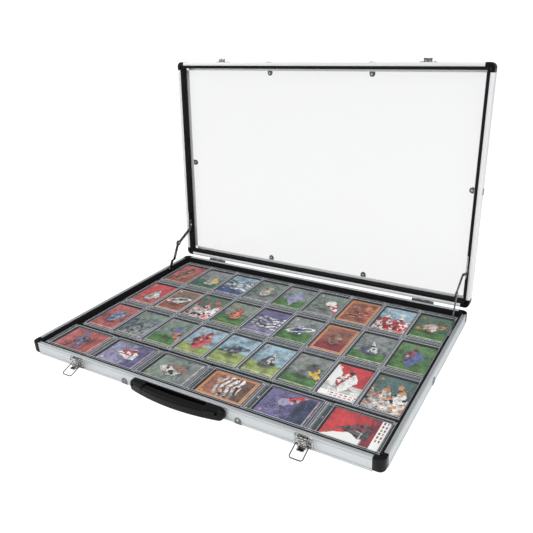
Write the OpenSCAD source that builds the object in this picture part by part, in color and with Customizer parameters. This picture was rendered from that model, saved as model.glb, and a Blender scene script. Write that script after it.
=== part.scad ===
// Slim aluminium display case for trading cards, shown open with its lid on two folding stays.
// Frame: +X to the right, +Y to the hinged rear, +Z up; origin at the centre of the base's underside.
// The lid is drawn closed, in case coordinates, and then swung open about the hinge axis.

/* [Case] */
// Width over the side rails
case_w = 700; // [660:10:740]
// Depth from the front rail to the rear rail
case_d = 458; // [450:2:500]
// Height of the base shell
base_h = 24; // [24:0.5:27]
// Height of the lid shell
lid_h = 24; // [24:0.5:30]
// How far the lid stands open
lid_open = 95; // [90:1:98]
// Gap left between the closed rims
rim_gap = 0.2; // [0.1:0.05:0.4]

/* [Frame rails] */
// Thickness of a hollow rail
rail_t = 7; // [6.5:0.5:8]
// Wall of the extrusion
skin_t = 1.6; // [1.2:0.1:1.8]
// Reach of the ledge that carries a panel, from the outer face
ledge_reach = 17; // [15:1:19]
// Thickness of that ledge
ledge_t = 1.2; // [1:0.1:1.4]
// Thickness of the bottom panel and of the window
panel_t = 2.6; // [2:0.2:3]
// Width of the tongue on the lid's rim
tongue_w = 1.6; // [1.2:0.1:1.8]
// Height of the tongue
tongue_h = 0.9; // [0.6:0.1:1]
// Length of a plastic corner along each side
corner_len = 17; // [16:1:22]
// Outer radius of a plastic corner
corner_r = 10; // [9:0.5:12]
// How far a corner stands proud of the rails
corner_proud = 0.4; // [0.2:0.1:0.6]

/* [Linings] */
// Thickness of the foam strips round the base
base_liner_t = 4; // [3:0.5:4.4]
// Thickness of the foam strips round the lid
lid_liner_t = 6; // [5:0.5:6]
// Height of the foam floor's top above the table
floor_top = 12.4; // [10:0.2:12.6]

/* [Card holders] */
// Width of one holder
holder_w = 73.4; // [72:0.2:75]
// Length of one holder
holder_l = 112; // [109:0.5:112.5]
// Thickness of one holder
holder_t = 7; // [5:0.5:7]
// Width of a card
card_w = 63.5; // [60:0.5:64]
// Length of a card
card_l = 88.9; // [85:0.1:89]
// Gap between neighbouring holders in a row
holder_gap = 0.3; // [0.2:0.1:0.4]
// Gap in front of the front row
front_gap = 5.5; // [4:0.5:7]
// Gap behind the front row
aisle = 7.6; // [5:0.2:9]
// Gap between the upright rows
row_gap = 1.2; // [0.8:0.2:2]

/* [Panel clips] */
// Width of a clip
clip_w = 12; // [10:1:14]
// Sheet thickness of a clip
clip_t = 0.8; // [0.6:0.1:1]
// Reach of a clip over the panel, from the outer face
clip_reach = 27; // [25:1:30]

/* [Hinges] */
// Distance of the hinge axis behind the rear face
hinge_off = 3.2; // [3.1:0.1:4]
// Distance of a hinge's middle from the case's side
hinge_inset = 92; // [80:2:110]
// Length of one hinge
hinge_len = 45; // [36:1:56]
// Radius of the hinge pin
hinge_pin_r = 1.4; // [1.2:0.1:1.5]

/* [Latches] */
// Distance of a latch from the case's side
latch_inset = 120; // [105:1:140]
// Height of the lever's pivot
lever_pivot_z = 18.4; // [18:0.1:18.8]
// Height of the wire bail's pivot
bail_pivot_z = 9; // [8.5:0.1:9.5]
// Distance of both pivots from the wall
latch_pivot_d = 4.4; // [4.2:0.1:4.8]
// Width of the lever
lever_w = 15.6; // [14:0.2:15.8]
// Radius of the bail's wire
wire_r = 0.9; // [0.8:0.05:1]
// Distance between the bail's legs, centre to centre
bail_w = 21.4; // [21.2:0.2:23]
// Height of the strike's hook above the lid's rim
hook_rise = 7.4; // [7:0.2:8]

/* [Handle] */
// Length of the handle over its end caps
handle_len = 190; // [170:2:210]
// Length of one end cap
cap_len = 33; // [28:1:36]
// Height of an end cap
cap_h = 20; // [18:0.5:20]
// Depth of the grip's section
grip_depth = 14; // [12:0.5:14]
// Height of the grip's section
grip_h = 16; // [14:0.2:16]
// How far the grip bows out in the middle
grip_bow = 4.5; // [3.5:0.5:6]
// Distance of the grip's pivot from the wall
grip_pivot_d = 9.5; // [9.5:0.1:10]
// Radius of the grip's pivot pins
grip_pin_r = 2; // [1.5:0.1:2.2]

/* [Lid stays] */
// Distance of the stay's lid pivot from the hinge axis, along the lid
stay_lid_reach = 79; // [78:0.5:80]
// Height of the lid pivot above the hinge axis, lid closed
stay_lid_rise = 6; // [5.5:0.1:6.5]
// Distance of the base pivot in front of the hinge axis
stay_base_reach = 80.2; // [79:0.2:81]
// Height of the base pivot
stay_base_z = 18; // [17.8:0.1:18.4]
// Length of the lower arm between pivots
lower_len = 66.2; // [66:0.1:66.8]
// Length of the upper arm between pivots
upper_len = 65.4; // [65.2:0.1:66]
// Thickness of an arm
arm_t = 1.8; // [1.4:0.1:1.9]
// Width of an arm
arm_w = 7; // [6:0.2:7]
// Radius of an arm's pivot pins
stay_pin_r = 2; // [1.6:0.1:2.2]
// Distance of the folded arms from the case's outer face
arm_inset = 13.4; // [13.2:0.1:14]

/* [Hidden] */
$fn = 48;

// General clearances
seat = 0.15;          // between a lug or panel and what holds it
run = 0.05;           // radial, between a pin and what turns on it
side_gap = 0.3;       // between parts that swing past each other

// Frame rails
edge_r = 1;           // rounding of a rail's outer edges
ledge_z = clip_t + panel_t + ledge_t;      // top of the ledge, above the shell's outer face
rim_wall = skin_t + 1.2;                   // solid metal under the rim's groove
groove_u = rail_t * 0.6;                   // middle of the rim's groove, from the outer face
line_w = 0.6;         // shallow lines drawn along the rail's outer face
line_depth = 0.35;
cavity_w = rail_t - 2 * skin_t;
lug_len = 12;

// Tray
tray_inset = rail_t + base_liner_t;
tray_w = case_w - 2 * tray_inset;
tray_d = case_d - 2 * tray_inset;
tray_side_gap = 0.6;
row_pitch = holder_l + row_gap;
columns = floor((tray_w - tray_side_gap + holder_gap) / (holder_w + holder_gap));
lying_columns = floor((tray_w - tray_side_gap + holder_gap) / (holder_l + holder_gap));
upright_y = -tray_d / 2 + front_gap + holder_w + aisle;
upright_rows = floor((tray_d / 2 - upright_y + row_gap) / row_pitch);
card_t = 0.6;
pocket_t = 0.9;       // room for the card between the two halves
card_gap = 0.3;
magnet_r = 3;
magnet_t = 1.6;

// Hinge
hinge_y = case_d / 2 + hinge_off;
hinge_z = base_h + rim_gap / 2;
leaf_t = 1.2;
leaf_h = 16;
knuckle_r = hinge_off - side_gap;
knuckles = 5;
knuckle_len = hinge_len / knuckles;

// Rivets
rivet_r = 1.4;
rivet_head_r = 2.3;
rivet_head_t = 0.8;
rivet_tail = skin_t + 1;

// Latches
latch_x = case_w / 2 - latch_inset;
plate_t = 1;
plate_w = 30;
plate_h = 21;
plate_z = 2;
ear_t = 1.2;
ear_x = lever_w / 2 + side_gap;
lever_skin = 1;
lever_knuckle_r = latch_pivot_d - plate_t - side_gap - 0.1;
latch_pin_r = 1.5;
lever_low = 4.5;
tab_reach = 7;
lever_slot_w = 9;     // slot across the lever, just under its pivot
lever_slot_drop = 3.2;
bail_bend = 4;
hook_t = 1.2;
hook_lip = 4;
hook_w = bail_w - 2 * wire_r - 3.4;
strike_w = 32;
strike_h = 14;
bail_seat_z = base_h + rim_gap + hook_rise + wire_r + side_gap;
bail_len = bail_seat_z - bail_pivot_z;
table_gap = 0.3;
bail_drop = asin((bail_pivot_z - wire_r - table_gap) / bail_len);

// Handle
grip_z = 12;
cap_low = grip_z - cap_h / 2;
cap_r = 8;            // rounding of a cap's end, seen from above and from the front
cap_in = handle_len / 2 - cap_len;         // where a cap meets the grip
grip_edge = 5;        // rounding of the grip's long edges
back_t = 0.8;         // thin plate behind the grip
grip_half = cap_in - side_gap;
bow_r = (grip_half * grip_half + grip_bow * grip_bow) / (2 * grip_bow);
bow_behind = bow_r - grip_bow - grip_pivot_d;   // centre of the bow, behind the wall
bow_outer = bow_r + grip_depth / 2;
pin_in_cap = 8;       // depth of the pin's bore in a cap
pin_in_grip = 7;      // and in the grip
pin_end_gap = 0.4;
screw_seat = 8;       // where a screw's head seats, out from the wall
screw_head_t = 1.6;
screw_recess_r = 2.7;

// Stays, as points in the plane of the stay: [y, z]
function turned(p, a) = [p[0] * cos(a) - p[1] * sin(a), p[0] * sin(a) + p[1] * cos(a)];
function knuckle_point(b, a) =
    let (d = norm(a - b), e = (a - b) / d,
         along = (d * d + lower_len * lower_len - upper_len * upper_len) / (2 * d),
         up = sqrt(lower_len * lower_len - along * along))
    b + along * e + up * [-e[1], e[0]];
function heading(p) = atan2(p[1], p[0]);
hinge_at = [hinge_y, hinge_z];
base_pivot = [hinge_y - stay_base_reach, stay_base_z];
lid_pivot_closed = hinge_at + [-stay_lid_reach, stay_lid_rise];
lid_pivot = hinge_at + turned([-stay_lid_reach, stay_lid_rise], -lid_open);
knuckle = knuckle_point(base_pivot, lid_pivot);
bracket_t = 1.2;
bracket_w = 24;
bracket_h = 11;
bracket_drop = 6;     // from the pivot to the far edge of its bracket
arm_level = rail_t + bracket_t + side_gap;
upper_inset = arm_inset + arm_t + side_gap;
pin_head_r = 3.5;
pin_head_t = 0.8;
arm_end_r = 4;
boss_r = 6;
stay_rivet_r = 1.2;
notch_behind = 18;
notch_ahead = 31;
notch_r = 10;         // rounding of the notches cut into the liners for the arms
base_notch_z = floor_top - 1.4;
lid_notch_depth = 13;
slot_len = 15;        // slot along a lower arm
slot_w = 2.4;

metal = [0.80, 0.82, 0.83];
steel = [0.74, 0.74, 0.76];
dark = [0.09, 0.09, 0.10];
foam = [0.12, 0.12, 0.13];
clear_grey = [0.82, 0.85, 0.88, 0.45];

module on_front() { translate([0, -case_d / 2, 0]) children(); }
module on_rear() { translate([0, case_d / 2, 0]) rotate([0, 0, 180]) children(); }
module on_right() { translate([case_w / 2, 0, 0]) rotate([0, 0, 90]) children(); }
module on_left() { translate([-case_w / 2, 0, 0]) rotate([0, 0, -90]) children(); }
module both_sides() { for (s = [0, 1]) mirror([s, 0, 0]) children(); }

// Takes what is drawn like the base, rim up, to the closed lid, rim down
module as_lid() { translate([0, 0, base_h + rim_gap + lid_h]) mirror([0, 0, 1]) children(); }
// Swings what is drawn on the closed lid to the open one
module swung() {
    translate([0, hinge_y, hinge_z])
        rotate([-lid_open, 0, 0])
            translate([0, -hinge_y, -hinge_z]) children();
}

// Frame rails: a hollow extrusion with a ledge for the panel, its outer face at u = 0
module outer_round(r) {
    difference() {
        square([r, r]);
        translate([r, r]) circle(r);
    }
}
module rail_section(h, lid) {
    difference() {
        union() {
            translate([0, ledge_z - ledge_t]) square([rail_t, h - ledge_z + ledge_t]);
            square([skin_t, ledge_z]);
            translate([0, ledge_z - ledge_t]) square([ledge_reach, ledge_t]);
            if (lid) translate([groove_u - tongue_w / 2, h - 0.1]) square([tongue_w, tongue_h + 0.1]);
        }
        outer_round(edge_r);
        translate([0, h]) mirror([0, 1]) outer_round(edge_r);
        translate([skin_t, ledge_z + skin_t]) square([cavity_w, h - ledge_z - skin_t - rim_wall]);
        if (!lid) translate([groove_u - tongue_w / 2 - 0.4, h - tongue_h - side_gap])
            square([tongue_w + 0.8, tongue_h + 1]);
        translate([-1, ledge_z]) square([line_depth + 1, line_w]);
        translate([-1, h - 3.6]) square([line_depth + 1, line_w]);
    }
}
module rail(len, h, lid, clip_places) {
    difference() {
        rotate([90, 0, 90]) linear_extrude(len, center = true) rail_section(h, lid);
        for (x = clip_places) translate([x, 0, 0]) {
            translate([-clip_w / 2 - seat, -1, -1]) cube([clip_w + 2 * seat, skin_t + 1.1, clip_t + 1]);
            translate([0, -1, clip_rivet_z]) rotate([-90, 0, 0]) cylinder(r = rivet_r + run, h = skin_t + 2);
        }
    }
}
long_rail = case_w - 2 * corner_len;
short_rail = case_d - 2 * corner_len;
clip_rivet_z = ledge_z + skin_t + rivet_r + 0.6;
clip_thirds = [-case_w / 6, case_w / 6];

module base_front_rail() { color(metal) on_front() front_rail_body(); }
module front_rail_body() {
    difference() {
        rail(long_rail, base_h, false, clip_thirds);
        for (s = [-1, 1]) {
            for (e = [-1, 1]) translate([s * latch_x + e * (plate_w / 2 - 3.4), 0, plate_z + plate_h / 2])
                wall_hole();
            translate([s * handle_screw_x, 0, handle_screw_z]) wall_hole();
        }
    }
}
module wall_hole() { across_wall(1) cylinder(r = rivet_r + run, h = skin_t + 1.5); }
// Turns what stands on the floor to run along +Y, from `before` in front of the wall
module across_wall(before) { translate([0, -before, 0]) rotate([-90, 0, 0]) children(); }
module leaf_holes(z) {
    for (s = [-1, 1], e = [-1, 0, 1])
        translate([s * hinge_x + e * (hinge_len / 2 - 6), 0, z]) wall_hole();
}
module base_rear_rail() {
    color(metal) on_rear() difference() {
        rail(long_rail, base_h, false, clip_thirds);
        leaf_holes(base_leaf_z);
    }
}
module base_left_rail() {
    color(metal) difference() {
        on_left() rail(short_rail, base_h, false, [0]);
        mirror([1, 0, 0]) base_stay_holes();
    }
}
module base_right_rail() {
    color(metal) difference() {
        on_right() rail(short_rail, base_h, false, [0]);
        base_stay_holes();
    }
}
module lid_front_rail() {
    color(metal) swung() as_lid() on_front() difference() {
        rail(long_rail, lid_h, true, clip_thirds);
        for (s = [-1, 1], e = [-1, 1])
            translate([s * latch_x + e * (strike_w / 2 - 4), 0, lid_h - strike_z]) wall_hole();
    }
}
module lid_rear_rail() {
    color(metal) swung() as_lid() on_rear() difference() {
        rail(long_rail, lid_h, true, clip_thirds);
        leaf_holes(lid_h - lid_leaf_z);
    }
}
module lid_left_rail() {
    color(metal) swung() difference() {
        as_lid() on_left() rail(short_rail, lid_h, true, [0]);
        mirror([1, 0, 0]) lid_stay_holes();
    }
}
module lid_right_rail() {
    color(metal) swung() difference() {
        as_lid() on_right() rail(short_rail, lid_h, true, [0]);
        lid_stay_holes();
    }
}

// Plastic corners: a rounded outer corner with a lug that plugs into each rail
corner_under = 6;     // rounding between a corner's sides and the shell's outer face
module corner_section(h) {
    difference() {
        translate([-corner_proud, 0]) square([rail_t + corner_proud, h]);
        translate([-corner_proud, 0]) outer_round(corner_under);
    }
}
module corner_leg(h) {
    translate([corner_r - corner_proud, 0, 0]) rotate([90, 0, 90])
        linear_extrude(corner_len - corner_r + corner_proud) corner_section(h);
    translate([corner_len - 0.1, skin_t + seat, ledge_z + skin_t + seat])
        cube([lug_len + 0.1, cavity_w - 2 * seat, h - ledge_z - skin_t - rim_wall - 2 * seat]);
}
module corner_piece(h) {
    translate([corner_r - corner_proud, corner_r - corner_proud, 0]) rotate([0, 0, 180])
        rotate_extrude(angle = 90) translate([corner_r - corner_proud, 0]) mirror([1, 0]) corner_section(h);
    corner_leg(h);
    mirror([1, -1, 0]) corner_leg(h);
    translate([rail_t - 0.5, rail_t - 0.5, ledge_z - ledge_t])
        cube([ledge_reach - rail_t + 0.5, ledge_reach - rail_t + 0.5, ledge_t]);
}
module corners(h) {
    for (sx = [0, 1], sy = [0, 1]) mirror([sx, 0, 0]) mirror([0, sy, 0])
        translate([-case_w / 2, -case_d / 2, 0]) corner_piece(h);
}
module base_corners() { color(dark) corners(base_h); }
module lid_corners() { color(dark) swung() as_lid() corners(lid_h); }

// Panels, held in the rebate behind the ledge
module panel() {
    difference() {
        translate([-case_w / 2 + skin_t + seat, -case_d / 2 + skin_t + seat, clip_t])
            cube([case_w - 2 * (skin_t + seat), case_d - 2 * (skin_t + seat), panel_t]);
        for (sx = [0, 1], sy = [0, 1]) mirror([sx, 0, 0]) mirror([0, sy, 0])
            translate([-case_w / 2 - 1, -case_d / 2 - 1, 0]) {
                cube([corner_len + seat + 1, rail_t + seat + 1, ledge_z]);
                cube([rail_t + seat + 1, corner_len + seat + 1, ledge_z]);
                cube([corner_r + seat + 1, corner_r + seat + 1, ledge_z]);
            }
        at_clips() translate([0, clip_screw_y, 0]) cylinder(r = rivet_r + run, h = ledge_z);
    }
}
module bottom_panel() { color(dark) panel(); }
module lid_window() { color([0.95, 0.97, 0.98, 0.25]) swung() as_lid() panel(); }

// Thin pads under the bottom panel, one of them in the middle to carry it
pad_r = 9;
module base_pads() {
    color(dark) linear_extrude(clip_t) {
        circle(pad_r);
        for (sx = [-1, 1], sy = [-1, 1]) translate([sx * case_w * 0.36, sy * case_d * 0.34]) circle(pad_r);
    }
}

// Panel clips: bent sheet, one domed leg on the wall and one over the panel
clip_screw_y = clip_reach - clip_w / 2 - 1;
module at_clips() {
    on_front() for (x = clip_thirds) translate([x, 0, 0]) children();
    on_rear() for (x = clip_thirds) translate([x, 0, 0]) children();
    on_left() children();
    on_right() children();
}
module clip() {
    difference() {
        union() {
            rotate([90, 0, 0]) linear_extrude(clip_t) {
                translate([-clip_w / 2, 0]) square([clip_w, clip_rivet_z - 2]);
                translate([0, clip_rivet_z - 2]) circle(clip_w / 2);
            }
            linear_extrude(clip_t) {
                translate([-clip_w / 2, -clip_t]) square([clip_w, clip_reach - clip_w / 2 + clip_t]);
                translate([0, clip_reach - clip_w / 2]) circle(clip_w / 2);
            }
        }
        translate([0, 0, clip_rivet_z]) across_wall(clip_t + 1) cylinder(r = rivet_r + run, h = clip_t + 2);
        translate([0, clip_screw_y, -1]) cylinder(r = rivet_r + run, h = clip_t + 2);
    }
}
module clip_rivets() {
    translate([0, -clip_t, clip_rivet_z]) rotate([-90, 0, 0]) rivet(clip_t);
    translate([0, clip_screw_y, 0]) cylinder(r = rivet_r, h = clip_t + panel_t - 0.1);
}
// A rivet driven along +Z, its head below z = 0
module rivet(plate) {
    cylinder(r = rivet_r, h = plate + rivet_tail);
    translate([0, 0, -rivet_head_t]) cylinder(r = rivet_head_r, h = rivet_head_t);
}
module base_panel_clips() { color(steel) at_clips() clip(); }
module base_clip_rivets() { color(steel) at_clips() clip_rivets(); }
module lid_panel_clips() { color(steel) swung() as_lid() at_clips() clip(); }
module lid_clip_rivets() { color(steel) swung() as_lid() at_clips() clip_rivets(); }

// Foam
module foam_floor() {
    color(foam) union() {
        translate([-case_w / 2 + tray_inset, -case_d / 2 + tray_inset, ledge_z])
            cube([tray_w, tray_d, floor_top - ledge_z]);
        translate([-case_w / 2 + ledge_reach + seat, -case_d / 2 + ledge_reach + seat, ledge_z - ledge_t])
            cube([case_w - 2 * (ledge_reach + seat), case_d - 2 * (ledge_reach + seat), ledge_t + 0.1]);
    }
}
module liner_ring(t, z0, z1) {
    translate([-case_w / 2 + rail_t, 0, 0]) difference() {
        translate([0, -case_d / 2 + rail_t, z0]) cube([case_w - 2 * rail_t, case_d - 2 * rail_t, z1 - z0]);
        translate([t, -case_d / 2 + rail_t + t, z0 - 1])
            cube([case_w - 2 * (rail_t + t), case_d - 2 * (rail_t + t), z1 - z0 + 2]);
    }
}
module corner_wells(h) {
    for (sx = [0, 1], sy = [0, 1]) mirror([sx, 0, 0]) mirror([0, sy, 0])
        translate([-case_w / 2 + rail_t - 1, -case_d / 2 + rail_t - 1, -1])
            cube([corner_r - rail_t + 1, corner_r - rail_t + 1, h + 2]);
}
// Room for a stay's arms: a notch across a side liner of thickness t, open upwards from its floor at z = 0
module arm_notch(t, y, h) {
    translate([case_w / 2 - rail_t - t - 1, y, 0]) rotate([90, 0, 90]) linear_extrude(t + 2) difference() {
        translate([-notch_ahead, 0]) square([notch_ahead + notch_behind, h]);
        translate([-notch_ahead, 0]) outer_round(notch_r);
        translate([notch_behind, 0]) mirror([1, 0]) outer_round(notch_r);
    }
}
module base_liner() {
    color(foam) difference() {
        liner_ring(base_liner_t, ledge_z, base_h - 0.6);
        corner_wells(base_h);
        both_sides() translate([0, 0, base_notch_z]) arm_notch(base_liner_t, base_pivot[0], base_h);
    }
}
module lid_liner() {
    color(foam) swung() difference() {
        as_lid() difference() {
            liner_ring(lid_liner_t, ledge_z, lid_h - 0.6);
            corner_wells(lid_h);
        }
        both_sides() translate([0, 0, base_h + lid_notch_depth]) mirror([0, 0, 1])
            arm_notch(lid_liner_t, lid_pivot_closed[0], lid_notch_depth);
    }
}

// Card holders: a back and a cover, closed over a card by a magnet
half_t = holder_t / 2;
bevel = 1.7;          // width of the step round a cover's top
window_margin = 3;    // frame of the raised step beyond the card
module for_holders() {
    right = case_w / 2 - tray_inset - tray_side_gap;
    for (i = [0 : lying_columns - 1])
        translate([right - i * (holder_l + holder_gap), -tray_d / 2 + front_gap, floor_top])
            rotate([0, 0, 90]) children();
    for (j = [0 : upright_rows - 1], i = [0 : columns - 1])
        translate([right - holder_w - i * (holder_w + holder_gap), upright_y + j * row_pitch, floor_top])
            children();
}
card_x = (holder_w - card_w) / 2;
card_y = (holder_l - card_l) / 2 - 3.4;
magnet_y = holder_l - 6.2;
module holder_back() {
    difference() {
        cube([holder_w, holder_l, half_t]);
        translate([card_x - card_gap, card_y - card_gap, half_t - pocket_t])
            cube([card_w + 2 * card_gap, card_l + 2 * card_gap, pocket_t + 1]);
        translate([holder_w / 2, magnet_y, half_t - magnet_t / 2]) cylinder(r = magnet_r + run, h = magnet_t);
    }
}
module holder_cover() {
    translate([0, 0, half_t]) difference() {
        union() {
            cube([holder_w, holder_l, half_t / 2]);
            translate([bevel, bevel, 0]) cube([holder_w - 2 * bevel, holder_l - 2 * bevel, half_t]);
        }
        translate([card_x - window_margin, card_y - window_margin, half_t - 0.8])
            cube([card_w + 2 * window_margin, card_l + 2 * window_margin, 1]);
        translate([holder_w / 2, magnet_y, -1]) cylinder(r = magnet_r + run, h = magnet_t / 2 + 1);
    }
}
module card() {
    translate([card_x, card_y, half_t - pocket_t]) cube([card_w, card_l, card_t]);
}
module magnet() {
    translate([holder_w / 2, magnet_y, half_t - magnet_t / 2]) cylinder(r = magnet_r, h = magnet_t);
}
module holder_backs() { color(clear_grey) for_holders() holder_back(); }
module holder_covers() { color(clear_grey) for_holders() holder_cover(); }
module trading_cards() { color([0.75, 0.32, 0.26]) for_holders() card(); }
module holder_magnets() { color(steel) for_holders() magnet(); }

// Hinges: three knuckles on the base leaf, two on the lid leaf
hinge_x = case_w / 2 - hinge_inset;
base_leaf_z = base_h - 3.2 - leaf_h / 2;
lid_leaf_z = 3.2 + leaf_h / 2;
module leaf_plate(z_low) {
    translate([-hinge_len / 2, 0, z_low]) cube([hinge_len, leaf_t, leaf_h]);
}
module knuckle_row(first) {
    for (k = [first : 2 : knuckles - 1])
        translate([-hinge_len / 2 + k * knuckle_len + 0.1, 0, 0]) children();
}
module knuckle_tube() {
    translate([0, hinge_off, hinge_z]) rotate([0, 90, 0]) cylinder(r = knuckle_r, h = knuckle_len - 0.2);
}
module pin_bore() {
    translate([-hinge_len / 2 - 1, hinge_off, hinge_z]) rotate([0, 90, 0])
        cylinder(r = hinge_pin_r + run, h = hinge_len + 2);
}
module at_hinges() { for (s = [-1, 1]) translate([s * hinge_x, case_d / 2, 0]) children(); }
module leaf_rivet_places(z) {
    for (e = [-1, 0, 1]) translate([e * (hinge_len / 2 - 6), leaf_t, z]) rotate([90, 0, 0]) children();
}
module hinge_base_leaves() {
    color(steel) at_hinges() difference() {
        union() {
            leaf_plate(base_leaf_z - leaf_h / 2);
            knuckle_row(0) {
                knuckle_tube();
                translate([0, 0, base_leaf_z]) cube([knuckle_len - 0.2, leaf_t, hinge_z - base_leaf_z - 0.4]);
            }
        }
        pin_bore();
        leaf_rivet_places(base_leaf_z) translate([0, 0, -1]) cylinder(r = rivet_r + run, h = leaf_t + 2);
    }
}
module hinge_lid_leaves() {
    top = base_h + rim_gap;
    color(steel) swung() at_hinges() difference() {
        union() {
            leaf_plate(top + lid_leaf_z - leaf_h / 2);
            knuckle_row(1) {
                knuckle_tube();
                translate([0, 0, hinge_z + 0.4])
                    cube([knuckle_len - 0.2, leaf_t, top + lid_leaf_z - hinge_z - 0.4]);
            }
        }
        pin_bore();
        leaf_rivet_places(top + lid_leaf_z) translate([0, 0, -1]) cylinder(r = rivet_r + run, h = leaf_t + 2);
    }
}
module hinge_pins() {
    color(steel) at_hinges() translate([-hinge_len / 2, hinge_off, hinge_z]) rotate([0, 90, 0])
        cylinder(r = hinge_pin_r, h = hinge_len);
}
module hinge_base_rivets() { color(steel) at_hinges() leaf_rivet_places(base_leaf_z) rivet(leaf_t); }
module hinge_lid_rivets() {
    color(steel) swung() at_hinges() leaf_rivet_places(base_h + rim_gap + lid_leaf_z) rivet(leaf_t);
}

// Latches, drawn at x = 0 with the wall at y = 0 and the outside towards -Y
module at_latches() { for (s = [-1, 1]) translate([s * latch_x, -case_d / 2, 0]) children(); }
module round_plate(w, h, r) {
    translate([-w / 2 + r, 0]) square([w - 2 * r, h]);
    translate([-w / 2, r]) square([w, h - 2 * r]);
    for (x = [-w / 2 + r, w / 2 - r], y = [r, h - r]) translate([x, y]) circle(r);
}
module latch_plate() {
    difference() {
        union() {
            translate([0, 0, plate_z]) rotate([90, 0, 0])
                linear_extrude(plate_t) round_plate(plate_w, plate_h, 3);
            for (s = [0, 1]) mirror([s, 0, 0]) {
                translate([ear_x, -latch_pivot_d, lever_pivot_z]) {
                    rotate([0, 90, 0]) cylinder(r = 3, h = ear_t);
                    translate([0, 0, -3]) cube([ear_t, latch_pivot_d - plate_t / 2, 6]);
                }
            }
        }
        translate([-plate_w, -latch_pivot_d, lever_pivot_z]) rotate([0, 90, 0])
            cylinder(r = latch_pin_r + run / 2, h = 2 * plate_w);
        for (e = [-1, 1]) translate([e * (plate_w / 2 - 3.4), -plate_t - 1, plate_z + plate_h / 2])
            rotate([-90, 0, 0]) cylinder(r = rivet_r + run, h = plate_t + 2);
    }
}
module latch_plates() { color(steel) at_latches() latch_plate(); }
module latch_plate_rivets() {
    color(steel) at_latches() for (e = [-1, 1])
        translate([e * (plate_w / 2 - 3.4), 0, plate_z + plate_h / 2]) across_wall(plate_t) rivet(plate_t);
}
module latch_pins() {
    len = 2 * (ear_x + ear_t) + 0.6;
    color(steel) at_latches() translate([-len / 2, -latch_pivot_d, lever_pivot_z]) rotate([0, 90, 0])
        cylinder(r = latch_pin_r, h = len);
}
module latch_lever() {
    face = latch_pivot_d + lever_knuckle_r;
    difference() {
        union() {
            translate([-lever_w / 2, -latch_pivot_d, lever_pivot_z]) rotate([0, 90, 0])
                cylinder(r = lever_knuckle_r, h = lever_w);
            translate([-lever_w / 2, -face, lever_low])
                cube([lever_w, lever_skin, lever_pivot_z - lever_low]);
            for (s = [0, 1]) mirror([s, 0, 0]) translate([lever_w / 2 - lever_skin, -face, lever_low])
                cube([lever_skin, face - plate_t - 1, lever_pivot_z - lever_low]);
            for (k = [0 : 2]) translate([-lever_w * 0.32, -face - 0.5, lever_low + 3.4 + 2.5 * k])
                cube([lever_w * 0.64, 1, 0.9]);
            translate([-lever_w * 0.38, -face - tab_reach, lever_low - 0.9])
                cube([lever_w * 0.76, tab_reach + lever_skin, 1]);
        }
        translate([-lever_w, -latch_pivot_d, lever_pivot_z]) rotate([0, 90, 0])
            cylinder(r = latch_pin_r + run, h = 2 * lever_w);
        translate([-lever_w, -latch_pivot_d, bail_pivot_z]) rotate([0, 90, 0])
            cylinder(r = wire_r + run, h = 2 * lever_w);
        translate([-4, -face - tab_reach + 1.6, lever_low - 2]) cube([8, 3.2, 3]);
        translate([-lever_slot_w / 2, -face - 1, lever_pivot_z - lever_slot_drop])
            cube([lever_slot_w, lever_skin + 1.4, 1.3]);
    }
}
module latch_lever_left() { color(steel) translate([-latch_x, -case_d / 2, 0]) latch_lever(); }
module latch_lever_right() { color(steel) translate([latch_x, -case_d / 2, 0]) latch_lever(); }

// The bail: a wire loop that hangs from the lever and rests on the table, its far end outwards
module bail() {
    half = bail_w / 2;
    translate([0, -latch_pivot_d, bail_pivot_z]) rotate([bail_drop, 0, 0]) mirror([0, 1, 0]) {
        both_sides() {
            translate([lever_w / 2 - lever_skin - 0.6, 0, 0]) rotate([0, 90, 0])
                cylinder(r = wire_r, h = half - lever_w / 2 + lever_skin + 0.6);
            translate([half, 0, 0]) sphere(r = wire_r);
            translate([half, 0, 0]) rotate([-90, 0, 0]) cylinder(r = wire_r, h = bail_len - bail_bend);
            translate([half - bail_bend, bail_len - bail_bend, 0])
                rotate_extrude(angle = 90) translate([bail_bend, 0]) circle(wire_r);
            translate([-0.05, bail_len, 0]) rotate([0, 90, 0])
                cylinder(r = wire_r, h = half - bail_bend + 0.05);
        }
    }
}
module latch_bail_left() { color(steel) translate([-latch_x, -case_d / 2, 0]) bail(); }
module latch_bail_right() { color(steel) translate([latch_x, -case_d / 2, 0]) bail(); }

// Strikes on the lid's front face: a plate with a hook that curls away from the base
strike_z = 10;
module strike() {
    low = base_h + rim_gap;
    difference() {
        union() {
            translate([0, 0, low + strike_z - strike_h / 2]) rotate([90, 0, 0])
                linear_extrude(plate_t) round_plate(strike_w, strike_h, 3);
            translate([-hook_w / 2, -latch_pivot_d - 3.2, low + hook_rise - hook_t])
                cube([hook_w, latch_pivot_d + 3.2 - plate_t / 2, hook_t]);
            translate([-hook_w / 2, -latch_pivot_d - 3.2, low + hook_rise - hook_t])
                cube([hook_w, hook_t, hook_t + hook_lip]);
        }
        for (e = [-1, 1]) translate([e * (strike_w / 2 - 4), -plate_t - 1, low + strike_z])
            rotate([-90, 0, 0]) cylinder(r = rivet_r + run, h = plate_t + 2);
    }
}
module strikes() { color(steel) swung() at_latches() strike(); }
module strike_rivets() {
    color(steel) swung() at_latches() for (e = [-1, 1])
        translate([e * (strike_w / 2 - 4), 0, base_h + rim_gap + strike_z]) across_wall(plate_t) rivet(plate_t);
}

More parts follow.
